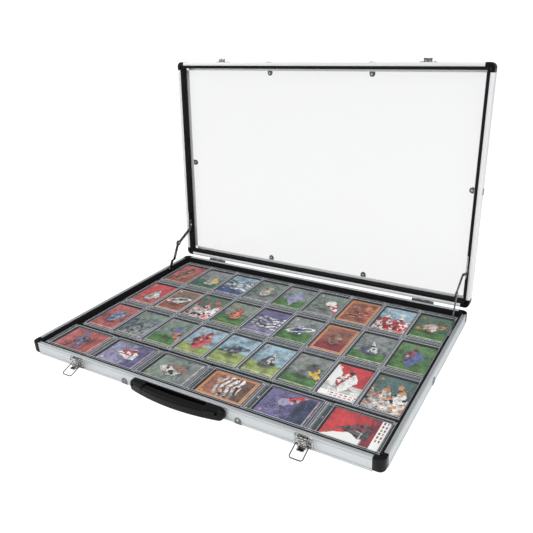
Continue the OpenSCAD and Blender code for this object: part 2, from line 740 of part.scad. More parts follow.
// Handle: two end caps on a thin back plate, and a grip between them that turns on pins in the caps.
// Caps and grip follow one bow, so that they meet flush.
handle_screw_x = handle_len / 2 - 10;
handle_screw_z = grip_z + 4;
module bowed() {
    sweep = 2 * asin((handle_len / 2 + 1) / bow_r);
    translate([0, bow_behind, grip_z]) rotate([0, 0, -90 - sweep / 2])
        rotate_extrude(angle = sweep, $fn = 360) translate([bow_r, 0]) children();
}
module cap_section() {
    behind = bow_outer - bow_behind + 8;
    difference() {
        translate([grip_depth / 2 - behind, -cap_h / 2]) square([behind, cap_h]);
        for (s = [0, 1]) mirror([0, s]) translate([grip_depth / 2, -cap_h / 2]) mirror([1, 0])
            outer_round(grip_edge);
    }
}
// Rounds a cap's end as seen from above, where the end runs into the bow
module cap_end_cut() {
    across = handle_len / 2 - cap_r;
    out = sqrt(pow(bow_outer - cap_r, 2) - across * across);
    lean = atan2(across, out);
    translate([across, bow_behind - out, cap_low - 1]) mirror([0, 1, 0]) linear_extrude(cap_h + 2)
        difference() {
            polygon([[0, 0], [2 * cap_r, 0], [2 * cap_r, 2 * cap_r], 2 * cap_r * [sin(lean), cos(lean)]]);
            circle(cap_r);
        }
}
module cap() {
    difference() {
        intersection() {
            bowed() cap_section();
            translate([cap_in, -bow_outer, cap_low]) cube([cap_len, bow_outer, cap_h]);
        }
        cap_end_cut();
        for (s = [0, 1]) translate([handle_len / 2, 1, grip_z]) mirror([0, 0, s]) translate([0, 0, -cap_h / 2])
            rotate([90, 0, 0]) linear_extrude(bow_outer) mirror([1, 0]) outer_round(cap_r);
        translate([cap_in - 1, -grip_pivot_d, grip_z]) rotate([0, 90, 0])
            cylinder(r = grip_pin_r + run / 2, h = pin_in_cap + 1);
        translate([handle_screw_x, 0, handle_screw_z]) rotate([90, 0, 0]) {
            translate([0, 0, -1]) cylinder(r = rivet_r + run, h = grip_depth + 2);
            translate([0, 0, screw_seat]) cylinder(r = screw_recess_r, h = grip_depth);
        }
    }
}
module handle_mount() {
    color(dark) on_front() {
        translate([-cap_in - 1, -back_t, cap_low]) cube([2 * cap_in + 2, back_t, cap_h]);
        both_sides() cap();
    }
}
module grip_section() {
    e = grip_edge;
    translate([-grip_depth / 2 + e, -grip_h / 2]) square([grip_depth - 2 * e, grip_h]);
    translate([-grip_depth / 2, -grip_h / 2 + e]) square([grip_depth, grip_h - 2 * e]);
    for (x = [-grip_depth / 2 + e, grip_depth / 2 - e], y = [-grip_h / 2 + e, grip_h / 2 - e])
        translate([x, y]) circle(e);
}
module handle_grip() {
    color(dark) on_front() difference() {
        intersection() {
            bowed() grip_section();
            translate([-grip_half, -bow_outer, 0]) cube([2 * grip_half, bow_outer, 2 * grip_z]);
        }
        both_sides() translate([grip_half - pin_in_grip, -grip_pivot_d, grip_z]) rotate([0, 90, 0])
            cylinder(r = grip_pin_r + run, h = pin_in_grip + 1);
    }
}
module handle_pins() {
    start = grip_half - pin_in_grip + pin_end_gap;
    color(steel) on_front() both_sides() translate([start, -grip_pivot_d, grip_z])
        rotate([0, 90, 0]) cylinder(r = grip_pin_r, h = cap_in + pin_in_cap - pin_end_gap - start);
}
module handle_screws() {
    color(steel) on_front() both_sides() translate([handle_screw_x, -screw_seat, handle_screw_z])
        rotate([-90, 0, 0]) {
            cylinder(r = rivet_r, h = screw_seat + rivet_tail);
            translate([0, 0, -screw_head_t]) cylinder(r = rivet_head_r, h = screw_head_t);
        }
}

// Lid stays, drawn on the right-hand side with u measured inwards from the case's outer face
module on_stay_plane(u, p) { translate([case_w / 2 - u, p[0], p[1]]) children(); }
module flat_arm(u, p, angle) {
    on_stay_plane(u, p) rotate([angle - 90, 0, 0]) rotate([0, -90, 0]) children();
}
// An arm along +X, stepped inwards by `step` between x = s and x = s + run_up, with a boss at its end
module arm_body(len, s, run_up, step) {
    t = arm_t;
    rise = s + run_up;
    rotate([90, 0, 0]) linear_extrude(arm_w, center = true)
        polygon([[0, 0], [s, 0], [rise, step], [len, step], [len, step + t], [rise, step + t], [s, t], [0, t]]);
    cylinder(r = arm_end_r, h = t);
    translate([len, 0, step]) cylinder(r = boss_r, h = t);
}
module arm_eye() { translate([0, 0, -1]) cylinder(r = stay_pin_r + run, h = arm_t + 2); }
lower_straight = 21;
upper_straight = 15;
module stay_lower() {
    step = arm_inset - arm_level;
    angle = heading(knuckle - base_pivot);
    flat_arm(arm_level, base_pivot, angle) difference() {
        arm_body(lower_len, lower_straight, step, step);
        arm_eye();
        translate([lower_straight + step + 5, -slot_w / 2, step - 1]) cube([slot_len, slot_w, arm_t + 2]);
        translate([lower_len, 0, step - 1]) cylinder(r = 2.2, h = arm_t + 2);
    }
}
module stay_upper() {
    step = upper_inset - arm_level;
    angle = heading(knuckle - lid_pivot);
    flat_arm(arm_level, lid_pivot, angle) difference() {
        union() {
            arm_body(upper_len, upper_straight, step, step);
            translate([upper_len, 0, step + arm_t]) cylinder(r = pin_head_r, h = 1);
            for (k = [0 : 7]) translate([upper_straight + step + 3 + 3.6 * k, -arm_w / 2, step + arm_t - 0.1])
                cube([1.6, arm_w, 0.6]);
        }
        arm_eye();
    }
}
module stay_lower_right() { color(steel) stay_lower(); }
module stay_lower_left() { color(steel) mirror([1, 0, 0]) stay_lower(); }
module stay_upper_right() { color(steel) stay_upper(); }
module stay_upper_left() { color(steel) mirror([1, 0, 0]) stay_upper(); }

// Brackets: a small plate on the rail's inner face, its rivets on the side that the arm never reaches
module bracket(p, away) {
    on_stay_plane(rail_t + bracket_t, p) difference() {
        translate([0, -bracket_w / 2, away < 0 ? -bracket_drop : bracket_drop - bracket_h])
            cube([bracket_t, bracket_w, bracket_h]);
        translate([-1, 0, 0]) rotate([0, 90, 0]) cylinder(r = stay_pin_r + run / 2, h = bracket_t + 2);
        bracket_rivet_places(away) translate([-1, 0, 0]) rotate([0, 90, 0])
            cylinder(r = stay_rivet_r + run, h = bracket_t + 2);
    }
}
module bracket_rivet_places(away) {
    for (e = [-1, 1]) translate([0, e * (bracket_w / 2 - 2.6), away * 4]) children();
}
module stay_pin(p) {
    on_stay_plane(arm_level + arm_t + 0.2 + pin_head_t, p) rotate([0, 90, 0]) {
        cylinder(r = pin_head_r, h = pin_head_t);
        cylinder(r = stay_pin_r, h = pin_head_t + 0.2 + arm_t + side_gap + bracket_t + skin_t);
    }
}
module stay_rivets(p, away) {
    on_stay_plane(rail_t + bracket_t, p) bracket_rivet_places(away) rotate([0, 90, 0])
        cylinder(r = stay_rivet_r, h = bracket_t + skin_t);
}
module stay_wall_holes(p, away) {
    on_stay_plane(rail_t + 1, p) {
        bracket_rivet_places(away) rotate([0, 90, 0]) cylinder(r = stay_rivet_r + run, h = skin_t + 1.2);
        rotate([0, 90, 0]) cylinder(r = stay_pin_r + run / 2, h = skin_t + 1.2);
    }
}
module base_stay_holes() { stay_wall_holes(base_pivot, -1); }
module lid_stay_holes() { stay_wall_holes(lid_pivot_closed, 1); }
module stay_base_brackets() { color(steel) both_sides() bracket(base_pivot, -1); }
module stay_base_pins() { color(steel) both_sides() stay_pin(base_pivot); }
module stay_base_rivets() { color(steel) both_sides() stay_rivets(base_pivot, -1); }
module stay_lid_brackets() { color(steel) swung() both_sides() bracket(lid_pivot_closed, 1); }
module stay_lid_pins() { color(steel) swung() both_sides() stay_pin(lid_pivot_closed); }
module stay_lid_rivets() { color(steel) swung() both_sides() stay_rivets(lid_pivot_closed, 1); }

base_front_rail();
base_rear_rail();
base_left_rail();
base_right_rail();
base_corners();
bottom_panel();
base_pads();
foam_floor();
base_liner();
base_panel_clips();
base_clip_rivets();
lid_front_rail();
lid_rear_rail();
lid_left_rail();
lid_right_rail();
lid_corners();
lid_window();
lid_liner();
lid_panel_clips();
lid_clip_rivets();
hinge_base_leaves();
hinge_lid_leaves();
hinge_pins();
hinge_base_rivets();
hinge_lid_rivets();
latch_plates();
latch_plate_rivets();
latch_pins();
latch_lever_left();
latch_lever_right();
latch_bail_left();
latch_bail_right();
strikes();
strike_rivets();
handle_mount();
handle_grip();
handle_pins();
handle_screws();
stay_base_brackets();
stay_base_pins();
stay_base_rivets();
stay_lid_brackets();
stay_lid_pins();
stay_lid_rivets();
stay_lower_left();
stay_lower_right();
stay_upper_left();
stay_upper_right();
holder_backs();
trading_cards();
holder_covers();
holder_magnets();
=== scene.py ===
# %% [markdown]
# # A trading card display case
# The real object is a slim aluminium case with a clear lid. Its tray holds flat acrylic card holders.
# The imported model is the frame: every piece made below sits on one of its bodies and moves with it.
# Pieces that show curves, stamped metal or prints are made here as surfaces; plain plates stay as they are.

# %% Load the frame
import math
from functools import partial

import bmesh
import bpy
import numpy as np
from mathutils import Matrix


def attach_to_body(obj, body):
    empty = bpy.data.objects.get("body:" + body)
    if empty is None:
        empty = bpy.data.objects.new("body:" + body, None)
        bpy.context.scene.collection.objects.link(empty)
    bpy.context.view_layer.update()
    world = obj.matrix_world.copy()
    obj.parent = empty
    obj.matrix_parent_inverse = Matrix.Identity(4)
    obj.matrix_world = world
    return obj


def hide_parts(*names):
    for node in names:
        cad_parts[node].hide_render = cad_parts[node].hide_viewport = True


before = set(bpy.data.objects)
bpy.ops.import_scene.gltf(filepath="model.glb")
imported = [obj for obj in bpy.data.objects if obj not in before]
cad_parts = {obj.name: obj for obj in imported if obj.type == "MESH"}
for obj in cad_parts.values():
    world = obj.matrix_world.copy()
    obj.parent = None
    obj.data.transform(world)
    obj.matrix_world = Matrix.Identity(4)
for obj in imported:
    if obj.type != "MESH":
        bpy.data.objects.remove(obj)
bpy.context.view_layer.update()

# %% [markdown]
# ## The camera
# The photograph is taken from the front right and above, with the view shifted a little off the lens axis.
# Its three axes are worked out from azimuth, elevation and roll, so that it can be read and changed.

# %% Camera
X, Y, Z = np.eye(3)


def unit(vectors):
    """Vectors divided by their own lengths."""
    return vectors / np.linalg.norm(vectors, axis=-1, keepdims=True)


def camera_axes(azimuth, elevation, roll):
    """Right, up and back axes of a camera that looks along +Y at azimuth 0.

    The view direction comes from the azimuth and the downward tilt. Right is the view direction crossed with
    +Z, up is right crossed with the view direction, and both then turn about the view direction by the roll.
    """
    a, e, r = np.radians([azimuth, elevation, roll])
    ahead = np.array([-np.sin(a) * np.cos(e), np.cos(a) * np.cos(e), -np.sin(e)])
    right = unit(np.cross(ahead, Z))
    up = np.cross(right, ahead)
    return np.cos(r) * right + np.sin(r) * up, np.cos(r) * up - np.sin(r) * right, -ahead


def into_scene(data, place, axes):
    """Puts a camera or a lamp at a place in metres, turned to its right, up and back axes."""
    item = bpy.data.objects.new(data.name, data)
    bpy.context.scene.collection.objects.link(item)
    pose = np.eye(4)
    pose[:3, :3] = np.transpose(axes)
    pose[:3, 3] = place
    item.matrix_world = Matrix(pose)
    return item


lens = bpy.data.cameras.new("camera")
lens.sensor_fit = "HORIZONTAL"
lens.sensor_width = 36
lens.lens = 38.03
lens.shift_x, lens.shift_y = -0.0545, -0.0225
axes = camera_axes(azimuth=29.844, elevation=22.518, roll=-2.263)
bpy.context.scene.camera = into_scene(lens, (0.54456, -0.77992, 0.56096), axes)

# %% [markdown]
# ## Sizes
# These are the case's real sizes in millimetres, the same as in its construction model.
# A wall of the case is described by u, the depth in from its outer face, and z, the height.

# %% Sizes in millimetres
CASE_W, CASE_D, SHELL_H, RIM_GAP = 700.0, 458.0, 24.0, 0.2
RAIL_T, SKIN_T, LEDGE_U, LEDGE_Z = 7.0, 1.6, 17.0, 4.6
CORNER_LEN, CORNER_R, PROUD = 17.0, 10.0, 0.4
LID_OPEN = 95.0
HINGE_BACK = 3.2
HINGE = np.array([0.0, CASE_D / 2 + HINGE_BACK, SHELL_H + RIM_GAP / 2])
LID_LOW = SHELL_H + RIM_GAP
FLOOR_TOP = 12.4
LATCH_X = CASE_W / 2 - 120
PIVOT_D, LEVER_PIVOT_Z, BAIL_PIVOT_Z = 4.4, 18.4, 9.0
print("hinge axis at y, z:", HINGE[1:])

# %% [markdown]
# ## Moving points to the case's walls
# Front, rear, left and right walls have the same section, so a shape is worked out once and then turned.
# The lid is worked out as if it were a second base, turned upside down, closed, and swung open.

# %% Placing
def on_wall(points, wall):
    """Turns points (along, u, z) from the front wall to another: a quarter turn about Z for each side."""
    quarter = {"front": 0, "right": 1, "rear": 2, "left": 3}[wall]
    reach = (CASE_W if quarter % 2 else CASE_D) / 2
    along_wall, out, up = points[..., 0], points[..., 1] - reach, points[..., 2]
    c, s = [(1, 0), (0, 1), (-1, 0), (0, -1)][quarter]
    return np.stack([c * along_wall - s * out, s * along_wall + c * out, up], -1)


def swing(points, angle=-LID_OPEN):
    """Turns points about the hinge axis by an angle in degrees, by the usual rotation of y and z."""
    c, s = math.cos(math.radians(angle)), math.sin(math.radians(angle))
    q = points - HINGE
    return np.stack([q[..., 0], c * q[..., 1] - s * q[..., 2], s * q[..., 1] + c * q[..., 2]], -1) + HINGE


def open_lid(points):
    """From the base's way of drawing to the open lid: heights count down from the closed lid's top."""
    return swing(points * [1, 1, -1] + [0, 0, 2 * SHELL_H + RIM_GAP])


def shift(x, y=0.0, z=0.0):
    """A change that moves points."""
    return lambda points: points + [x, y, z]


def mirror(side):
    """A change that mirrors points left to right where side is -1."""
    return lambda points: points * [side, 1, 1]


def moved(part, *changes):
    """The same part with its points changed by one function after another."""
    points = part["points"]
    for change in changes:
        points = change(points)
    return {**part, "points": points}


def copies(parts, places, *after):
    """Every part at every place; a place is a change of points, and more changes can follow it."""
    return [moved(part, place, *after) for place in places for part in parts]


SHELLS = {"base": (), "lid": (open_lid,)}

# %% [markdown]
# ## Surfaces from arrays
# Each shape is a grid of points: one direction runs along the piece and the other around its section.
# A small function turns a grid into faces, and another puts any number of grids into one mesh.

# %% Grids to meshes
def spread(*fields):
    """Points whose coordinates are fields, each of them spread over the whole grid."""
    return np.stack(np.broadcast_arrays(*fields), -1)


def grid(points, capped=True, uv=None):
    """Faces between neighbours of a grid of points whose rows are closed loops; caps close its two ends."""
    n, m = points.shape[:2]
    i, j = np.indices((n - 1, m))
    corners = [(i, j), (i + 1, j), (i + 1, j + 1), (i, j + 1)]
    quads = np.stack([a * m + b % m for a, b in corners], -1).reshape(-1, 4)
    part = {"points": points.reshape(-1, 3), "faces": quads.tolist()}
    if capped:
        part["faces"] += [list(range(m))[::-1], list(range((n - 1) * m, n * m))]
    if uv is not None:
        flat = np.stack([uv[a, b] for a, b in corners], -2)
        part["uv"] = np.concatenate([flat.reshape(-1, 2), np.zeros((2 * m, 2))])
    return part


def tidy_edges(mesh, soften):
    """Joins points that meet, turns all faces outwards and rounds sharp edges by soften millimetres."""
    work = bmesh.new()
    work.from_mesh(mesh)
    bmesh.ops.remove_doubles(work, verts=work.verts, dist=1e-7)
    bmesh.ops.recalc_face_normals(work, faces=work.faces)
    if soften:
        sharp = [e for e in work.edges if len(e.link_faces) == 2 and e.calc_face_angle() > 0.7]
        bmesh.ops.bevel(work, geom=sharp, offset=soften * 0.001, segments=2, profile=0.5, affect="EDGES",
                        clamp_overlap=True)
    work.to_mesh(mesh)
    work.free()


def make_piece(name, parts, look, body, replaces=(), crease=40, outward=True, soften=0.0):
    """One object from several grids, in metres, smooth but for edges sharper than crease degrees."""
    offsets = np.cumsum([0] + [len(p["points"]) for p in parts])
    points = np.concatenate([p["points"] for p in parts]) * 0.001
    faces = [[k + int(o) for k in f] for p, o in zip(parts, offsets) for f in p["faces"]]
    mesh = bpy.data.meshes.new(name)
    mesh.from_pydata(points.tolist(), [], faces)
    if all("uv" in p for p in parts):
        uv = np.concatenate([p["uv"] for p in parts]) * 0.001
        mesh.uv_layers.new(name="surface").uv.foreach_set("vector", uv.astype(np.float32).ravel())
    for key in sorted({k for p in parts for k in p if k.startswith("ink")}):
        inks = np.concatenate([np.tile(p[key], (len(p["faces"]), 1)) for p in parts]).astype(np.float32)
        mesh.attributes.new(key, "FLOAT_COLOR", "FACE").data.foreach_set("color", inks.ravel())
    if outward:
        tidy_edges(mesh, soften)
    mesh.shade_smooth()
    mesh.set_sharp_from_angle(angle=math.radians(crease))
    mesh.materials.append(look)
    piece = bpy.data.objects.new(name, mesh)
    bpy.context.scene.collection.objects.link(piece)
    if body:
        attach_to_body(piece, body)
    if replaces:
        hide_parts(*replaces)
    print(f"{name}: {len(mesh.polygons)} faces")
    return piece


# %% [markdown]
# ## Outlines and paths
# Outlines and paths are lists of corners, and an arc takes the place of each corner.

# %% Rounded outlines
def arcs(before, corner, after, radii, steps):
    """One arc for each corner, tangent to both of its sides.

    It starts radius / tan(half the corner's angle) before the corner, and turns about a centre on the bisector.
    """
    r = np.broadcast_to(np.asarray(radii, float), len(corner))[:, None]
    back, on = unit(before - corner), unit(after - corner)
    half = np.arccos(np.clip((back * on).sum(1, keepdims=True), -1, 1)) / 2
    centre = corner + unit(back + on) * r / np.sin(half)
    turn = math.pi - 2 * half[:, None]
    k = np.linspace(0, 1, steps + 1)[None, :, None]
    start, end = ((corner + side * r / np.tan(half) - centre)[:, None] for side in (back, on))
    return centre[:, None] + (np.sin((1 - k) * turn) * start + np.sin(k * turn) * end) / np.sin(turn)


def rounded(corners, radii, steps=4):
    """A closed outline with its corners rounded."""
    p = np.asarray(corners, float)
    outline = arcs(np.roll(p, 1, 0), p, np.roll(p, -1, 0), radii, steps).reshape(-1, 2)
    return outline[np.linalg.norm(outline - np.roll(outline, 1, 0), axis=1) > 1e-4]


def rectangle(x0, y0, x1, y1, radii, steps=4):
    return rounded([(x0, y0), (x1, y0), (x1, y1), (x0, y1)], radii, steps)


def bend_path(corners, radii, steps=5):
    """An open path with rounded corners."""
    p = np.asarray(corners, float)
    return np.concatenate([p[:1], arcs(p[:-2], p[1:-1], p[2:], radii, steps).reshape(-1, 2), p[-1:]])


def ahead_on(path):
    """The direction of travel at each point of a path."""
    return unit(np.gradient(path, axis=0))


def left_of(path):
    """Normals of a flat path: the direction of travel, a quarter turn to the left."""
    return ahead_on(path)[:, ::-1] * [-1, 1]


def along(path):
    """Distance along a path at each of its points."""
    return np.concatenate([[0], np.cumsum(np.linalg.norm(np.diff(path, axis=0), axis=1))])


def extruded(outline, ends):
    """A section (u, z) carried straight along a wall, with its own map of (along, around) in millimetres."""
    s = np.array(ends)[:, None]
    around = along(np.concatenate([outline, outline[:1]]))
    return grid(spread(s, outline[:, 0], outline[:, 1]), uv=spread(s, around))


# %% [markdown]
# ## Bent sheet and turned metal
# Clips, stays, latch levers and hooks are strips of sheet: a path seen from the side, a width along it and a
# thickness. Cells can be left out of a strip to punch a slot. Rivets and pins are turned: a profile goes round.

# %% Strips, slabs and turned shapes
def strip(path, normals, half_widths, thick, columns=(-1, 1), holes=(), side=X):
    """A closed strip of sheet, thick along its normals, with square holes.

    Each station of the path carries the columns, scaled to that station's half width. A hole names the ranges
    (first station, last station, first column, last column) of the cells that are punched out.
    """
    across = np.asarray(columns, float) * np.asarray(half_widths)[:, None]
    low = path[:, None] + np.asarray(side) * across[..., None]
    high = low + normals[:, None] * np.broadcast_to(np.asarray(thick, float), len(path))[:, None, None]
    n, m = low.shape[:2]
    keep = np.ones((n - 1, m - 1), bool)
    for a, b, c, d in holes:
        keep[a:b, c:d] = False
    at = np.arange(n * m).reshape(n, m)
    i, j = np.nonzero(keep)
    bottom = np.stack([at[i, j], at[i + 1, j], at[i + 1, j + 1], at[i, j + 1]], -1)
    padded = np.pad(keep, 1)
    i, j = np.nonzero(padded[1:, 1:-1] != padded[:-1, 1:-1])
    cross_edges = np.stack([at[i, j], at[i, j + 1]], -1)
    i, j = np.nonzero(padded[1:-1, 1:] != padded[1:-1, :-1])
    edges = np.concatenate([cross_edges, np.stack([at[i, j], at[i + 1, j]], -1)])
    walls = np.concatenate([edges, edges[:, ::-1] + n * m], -1)
    used, faces = np.unique(np.concatenate([bottom, bottom[:, ::-1] + n * m, walls]), return_inverse=True)
    points = np.concatenate([low.reshape(-1, 3), high.reshape(-1, 3)])[used]
    return {"points": points, "faces": faces.reshape(-1, 4).tolist()}


def slab(outline, low, high, edge=0.25):
    """A plate from a closed outline, with its edges broken: inset loop, two full loops, inset loop."""
    normal = unit((np.roll(outline, -1, 0) - np.roll(outline, 1, 0))[:, ::-1] * [1, -1])
    levels = [low, low + edge * 0.3, low + edge, high - edge, high - edge * 0.3, high]
    insets = [1, 0.3, 0, 0, 0.3, 1]
    return grid(np.stack([spread(*(outline - normal * edge * k).T, z) for k, z in zip(insets, levels)]))


def turned(profile, steps=24):
    """A profile of (radius, height) taken once round +Z."""
    radius, height = np.array(profile, float).T[..., None]
    a = np.linspace(0, 2 * math.pi, steps, endpoint=False)
    return grid(spread(radius * np.cos(a), radius * np.sin(a), height), capped=False)


def dome(radius, height, shank=0.4):
    """A rivet's head: a shallow dome that meets the sheet, with a short collar under it."""
    a = np.linspace(0, math.pi / 2, 5)
    arc = np.stack([radius * np.cos(a), height * np.sin(a)], -1)
    return turned(np.concatenate([[[radius * 0.6, -shank], [radius, -0.02]], arc]))


def placed(part, x, y, z, origin=(0, 0, 0)):
    """Turns a part so that its own axes point along x, y and z, and moves it to an origin."""
    return moved(part, lambda p: p @ np.array([x, y, z]) + origin)


def facing(part, out, origin=(0, 0, 0)):
    """Stands a part that was drawn along +Z on a surface, pointing outwards."""
    x = X if abs(out[0]) < 0.9 else Y
    return placed(part, x, np.cross(out, x), out, origin)


def side_on(flat, out=-1):
    """Points (depth, z) seen from the side, as (x, y, z) with the depth towards -Y."""
    return spread(0, out * flat[:, 0], flat[:, 1])


def tube(path, normal, radius, steps=12):
    """A wire along a flat path: a circle spanned by the path's own normal and by the plane's."""
    a = np.linspace(0, 2 * math.pi, steps, endpoint=False)[None, :, None]
    across = np.cross(ahead_on(path), normal)[:, None]
    return grid(path[:, None] + radius * (np.cos(a) * across + np.sin(a) * np.asarray(normal)))


# %% [markdown]
# ## Finishes
# A finish is a small tree of shader nodes. Formulas are written as ordinary sums: the class below turns
# each plus or times into a Math node, so a pattern reads like the formula that describes it.

# %% Node formulas
def feed(tree, slot, value):
    """Fills a socket with a link from another node, or with a number or colour of its own."""
    source = value.socket if isinstance(value, Value) else value
    if hasattr(source, "is_output"):
        tree.links.new(source, slot)
    else:
        slot.default_value = (*source, 1) if slot.type == "RGBA" else source


class Value:
    """A number that is known only while rendering: the output socket of a node."""

    def __init__(self, tree, socket):
        self.tree, self.socket = tree, socket

    def math(self, operation, *others):
        made = self.tree.nodes.new("ShaderNodeMath")
        made.operation = operation
        for slot, value in zip(made.inputs, (self, *others)):
            feed(self.tree, slot, value)
        return Value(self.tree, made.outputs[0])

    def __neg__(self):
        return self * -1.0

    def __rsub__(self, other):
        return -self + other

    def limited(self):
        """The value kept between 0 and 1."""
        return self.most(0.0).least(1.0)


for word, operation in (
    ("__add__", "ADD"), ("__sub__", "SUBTRACT"), ("__mul__", "MULTIPLY"), ("__lt__", "LESS_THAN"),
    ("size", "ABSOLUTE"), ("wave", "SINE"), ("part", "FRACT"), ("root", "SQRT"), ("least", "MINIMUM"),
    ("most", "MAXIMUM"),
):
    setattr(Value, word, lambda self, *others, kind=operation: self.math(kind, *others))

# %% [markdown]
# A finish starts from plain values on the shader's sockets, and patterns are then fed into some of them.

# %% The finish itself
class Finish:
    """A material, its tree and its shader. A socket is named as in Blender, with _ for a space."""

    def __init__(self, name, color, rough, metal=0.0, **values):
        self.material = bpy.data.materials.new(name)
        self.material.use_nodes = True
        self.tree = self.material.node_tree
        self.shader = self.tree.nodes["Principled BSDF"]
        self.set(Base_Color=color, Roughness=rough, Metallic=metal, **values)

    def fill(self, made, values):
        for name, value in values.items():
            feed(self.tree, made.inputs[name.replace("_", " ")], value)
        return made

    def set(self, **values):
        self.fill(self.shader, values)

    def node(self, kind, **values):
        return self.fill(self.tree.nodes.new(kind), values)

    def place(self):
        return self.node("ShaderNodeTexCoord").outputs["Object"]

    def noise(self, vector, scale, detail=3.0, roughness=0.5):
        made = self.node("ShaderNodeTexNoise", Vector=vector, Scale=scale, Detail=detail, Roughness=roughness)
        return Value(self.tree, made.outputs["Fac"])

    def mix(self, amount, first, second):
        """A colour between two: the first where amount is 0 and the second where it is 1."""
        made = self.tree.nodes.new("ShaderNodeMix")
        made.data_type = "RGBA"
        for slot, value in ((0, amount), (6, first), (7, second)):
            feed(self.tree, made.inputs[slot], value)
        return made.outputs[2]

    def tones(self, amount, color, low, high):
        """A colour between a darker and a lighter tone of one colour."""
        return self.mix(amount, [c * low for c in color], [min(1, c * high) for c in color])

    def bump(self, height, strength, distance):
        made = self.node("ShaderNodeBump", Height=height, Strength=strength, Distance=distance)
        self.set(Normal=made.outputs[0])


# %% [markdown]
# ### Anodised aluminium
# The rails are drawn through a die and brushed lengthways. Fine streaks run along the rail, so the noise is
# stretched about a hundredfold along it. The streaks change the roughness and, very slightly, the tone.

# %% Aluminium
def brushed_aluminium(name, color, rough=0.34, metal=0.7):
    look = Finish(name, color, rough, metal)
    surface = look.node("ShaderNodeUVMap").outputs[0]
    streaks, clouds = (
        look.noise(look.node("ShaderNodeMapping", Vector=surface, Scale=scale).outputs[0], 1.0, detail)
        for scale, detail in (((6, 900, 1), 2.0), ((9, 40, 1), 3.0))
    )
    look.set(Base_Color=look.tones(streaks, color, 0.88, 1.08),
             Roughness=streaks * 0.16 + clouds * 0.14 + (rough - 0.15))
    look.bump(streaks, 0.12, 0.0001)
    return look.material


aluminium = brushed_aluminium("brushed_aluminium", (0.66, 0.69, 0.71))
# The lid's rails are the same aluminium; their lighter, less metallic copy paints the extra light that falls on
# them.
lid_aluminium_painted_light = brushed_aluminium("lid_aluminium_painted_light", (0.86, 0.87, 0.89), 0.40, 0.35)

# %% [markdown]
# ### Plated steel
# Latches, stays, clips and rivets are pressed from sheet and plated. The plating is smooth but the sheet
# under it isn't quite flat, so a broad noise bends the reflections and a finer one dulls them in places.

# %% Plated and dark steel
def plated_steel(name, color, rough, contrast=1.0):
    look = Finish(name, color, rough, 1.0)
    place = look.place()
    dents, grain = look.noise(place, 160.0, 2.0), look.noise(place, 1400.0)
    shade = ((look.noise(place, 330.0, 2.0) - 0.5) * contrast + 0.5).limited()
    look.set(Base_Color=look.tones(shade, color, 0.3, 1.5), Roughness=grain * 0.18 + (rough - 0.06))
    look.bump(dents + grain * 0.15, 0.25, 0.0002)
    return look.material


steel = plated_steel("plated_steel", (0.52, 0.52, 0.51), 0.14, 5.0)
dark_steel = plated_steel("dark_steel", (0.16, 0.16, 0.17), 0.34)
clip_steel = plated_steel("clip_steel", (0.24, 0.24, 0.24), 0.26)
wire_steel = plated_steel("wire_steel", (0.12, 0.12, 0.12), 0.2)
arm_steel = plated_steel("arm_steel", (0.13, 0.13, 0.14), 0.22)

# %% [markdown]
# ### Black plastics and foam
# The corners and the handle are moulded with a fine spark-eroded grain and a soft gloss. The foam is
# closed-cell: it hardly shines, and its skin is pitted with cells about half a millimetre across.

# %% Black finishes
def moulded_black(name, tone, rough, grain, coat):
    look = Finish(name, (tone, tone, tone * 1.06), rough, Coat_Weight=coat, Coat_Roughness=0.2,
                  Specular_IOR_Level=0.16)
    place = look.place()
    pits, patches = look.noise(place, grain, 3.0, 0.6), look.noise(place, 60.0, 2.0)
    look.set(Roughness=pits * 0.2 + patches * 0.12 + (rough - 0.15))
    look.bump(pits, 0.25, 0.00025)
    return look.material


def cell_foam(name, tone):
    look = Finish(name, (tone, tone, tone), 0.95, Specular_IOR_Level=0.15)
    place = look.place()
    cells = look.node("ShaderNodeTexVoronoi", Vector=place, Scale=1500.0).outputs["Distance"]
    lumps = look.noise(place, 500.0, 4.0, 0.7)
    look.set(Base_Color=look.tones(lumps, (tone, tone, tone), 0.55, 1.7))
    look.bump(lumps - Value(look.tree, cells) * 0.6, 0.6, 0.0006)
    return look.material


black_plastic = moulded_black("moulded_black", 0.004, 0.30, 2200.0, 0.10)
grip_plastic = moulded_black("grip_black", 0.004, 0.34, 1500.0, 0.06)
panel_black = moulded_black("panel_black", 0.022, 0.5, 900.0, 0.0)
foam = cell_foam("black_foam", 0.010)
rubber = moulded_black("pad_rubber", 0.02, 0.75, 1200.0, 0.0)

# %% [markdown]
# ### Clear plastics
# The lid's window and the holders are clear acrylic. A thin clear sheet lets the light through almost
# unchanged, so the shader is mostly see-through, and its gloss gives the reflections that reveal it.

# %% Clear finishes
def clear_sheet(name, color, alpha, rough, gloss=0.5):
    look = Finish(name, color, rough, Alpha=alpha, Specular_IOR_Level=gloss)
    look.set(Roughness=look.noise(look.place(), 14.0, 2.0) * 0.05 + rough)
    return look.material


window_clear = clear_sheet("window_clear", (0.38, 0.39, 0.40), 0.18, 0.03, 0.3)
holder_clear = clear_sheet("holder_clear", (0.60, 0.65, 0.70), 0.13, 0.06, 0.4)
holder_window = clear_sheet("holder_window", (0.80, 0.85, 0.90), 0.05, 0.03)
# The holders' walls get a dark tint that paints their shade, and their edges a bright one that paints their
# highlights.
holder_wall_shade = clear_sheet("holder_wall_shade", (0.16, 0.18, 0.21), 0.22, 0.12, 0.2)
holder_edge_highlight = clear_sheet("holder_edge_highlight", (0.80, 0.83, 0.88), 0.52, 0.12, 0.3)
peg_clear = clear_sheet("holder_peg", (0.70, 0.72, 0.74), 0.5, 0.15)

# %% [markdown]
# ## The rails
# A rail is one extrusion: a hollow wall with a ledge at its foot that carries the panel, thin drawn lines on
# its outer face and rounded rims. Its section is an outline with rounded corners, carried along the wall.

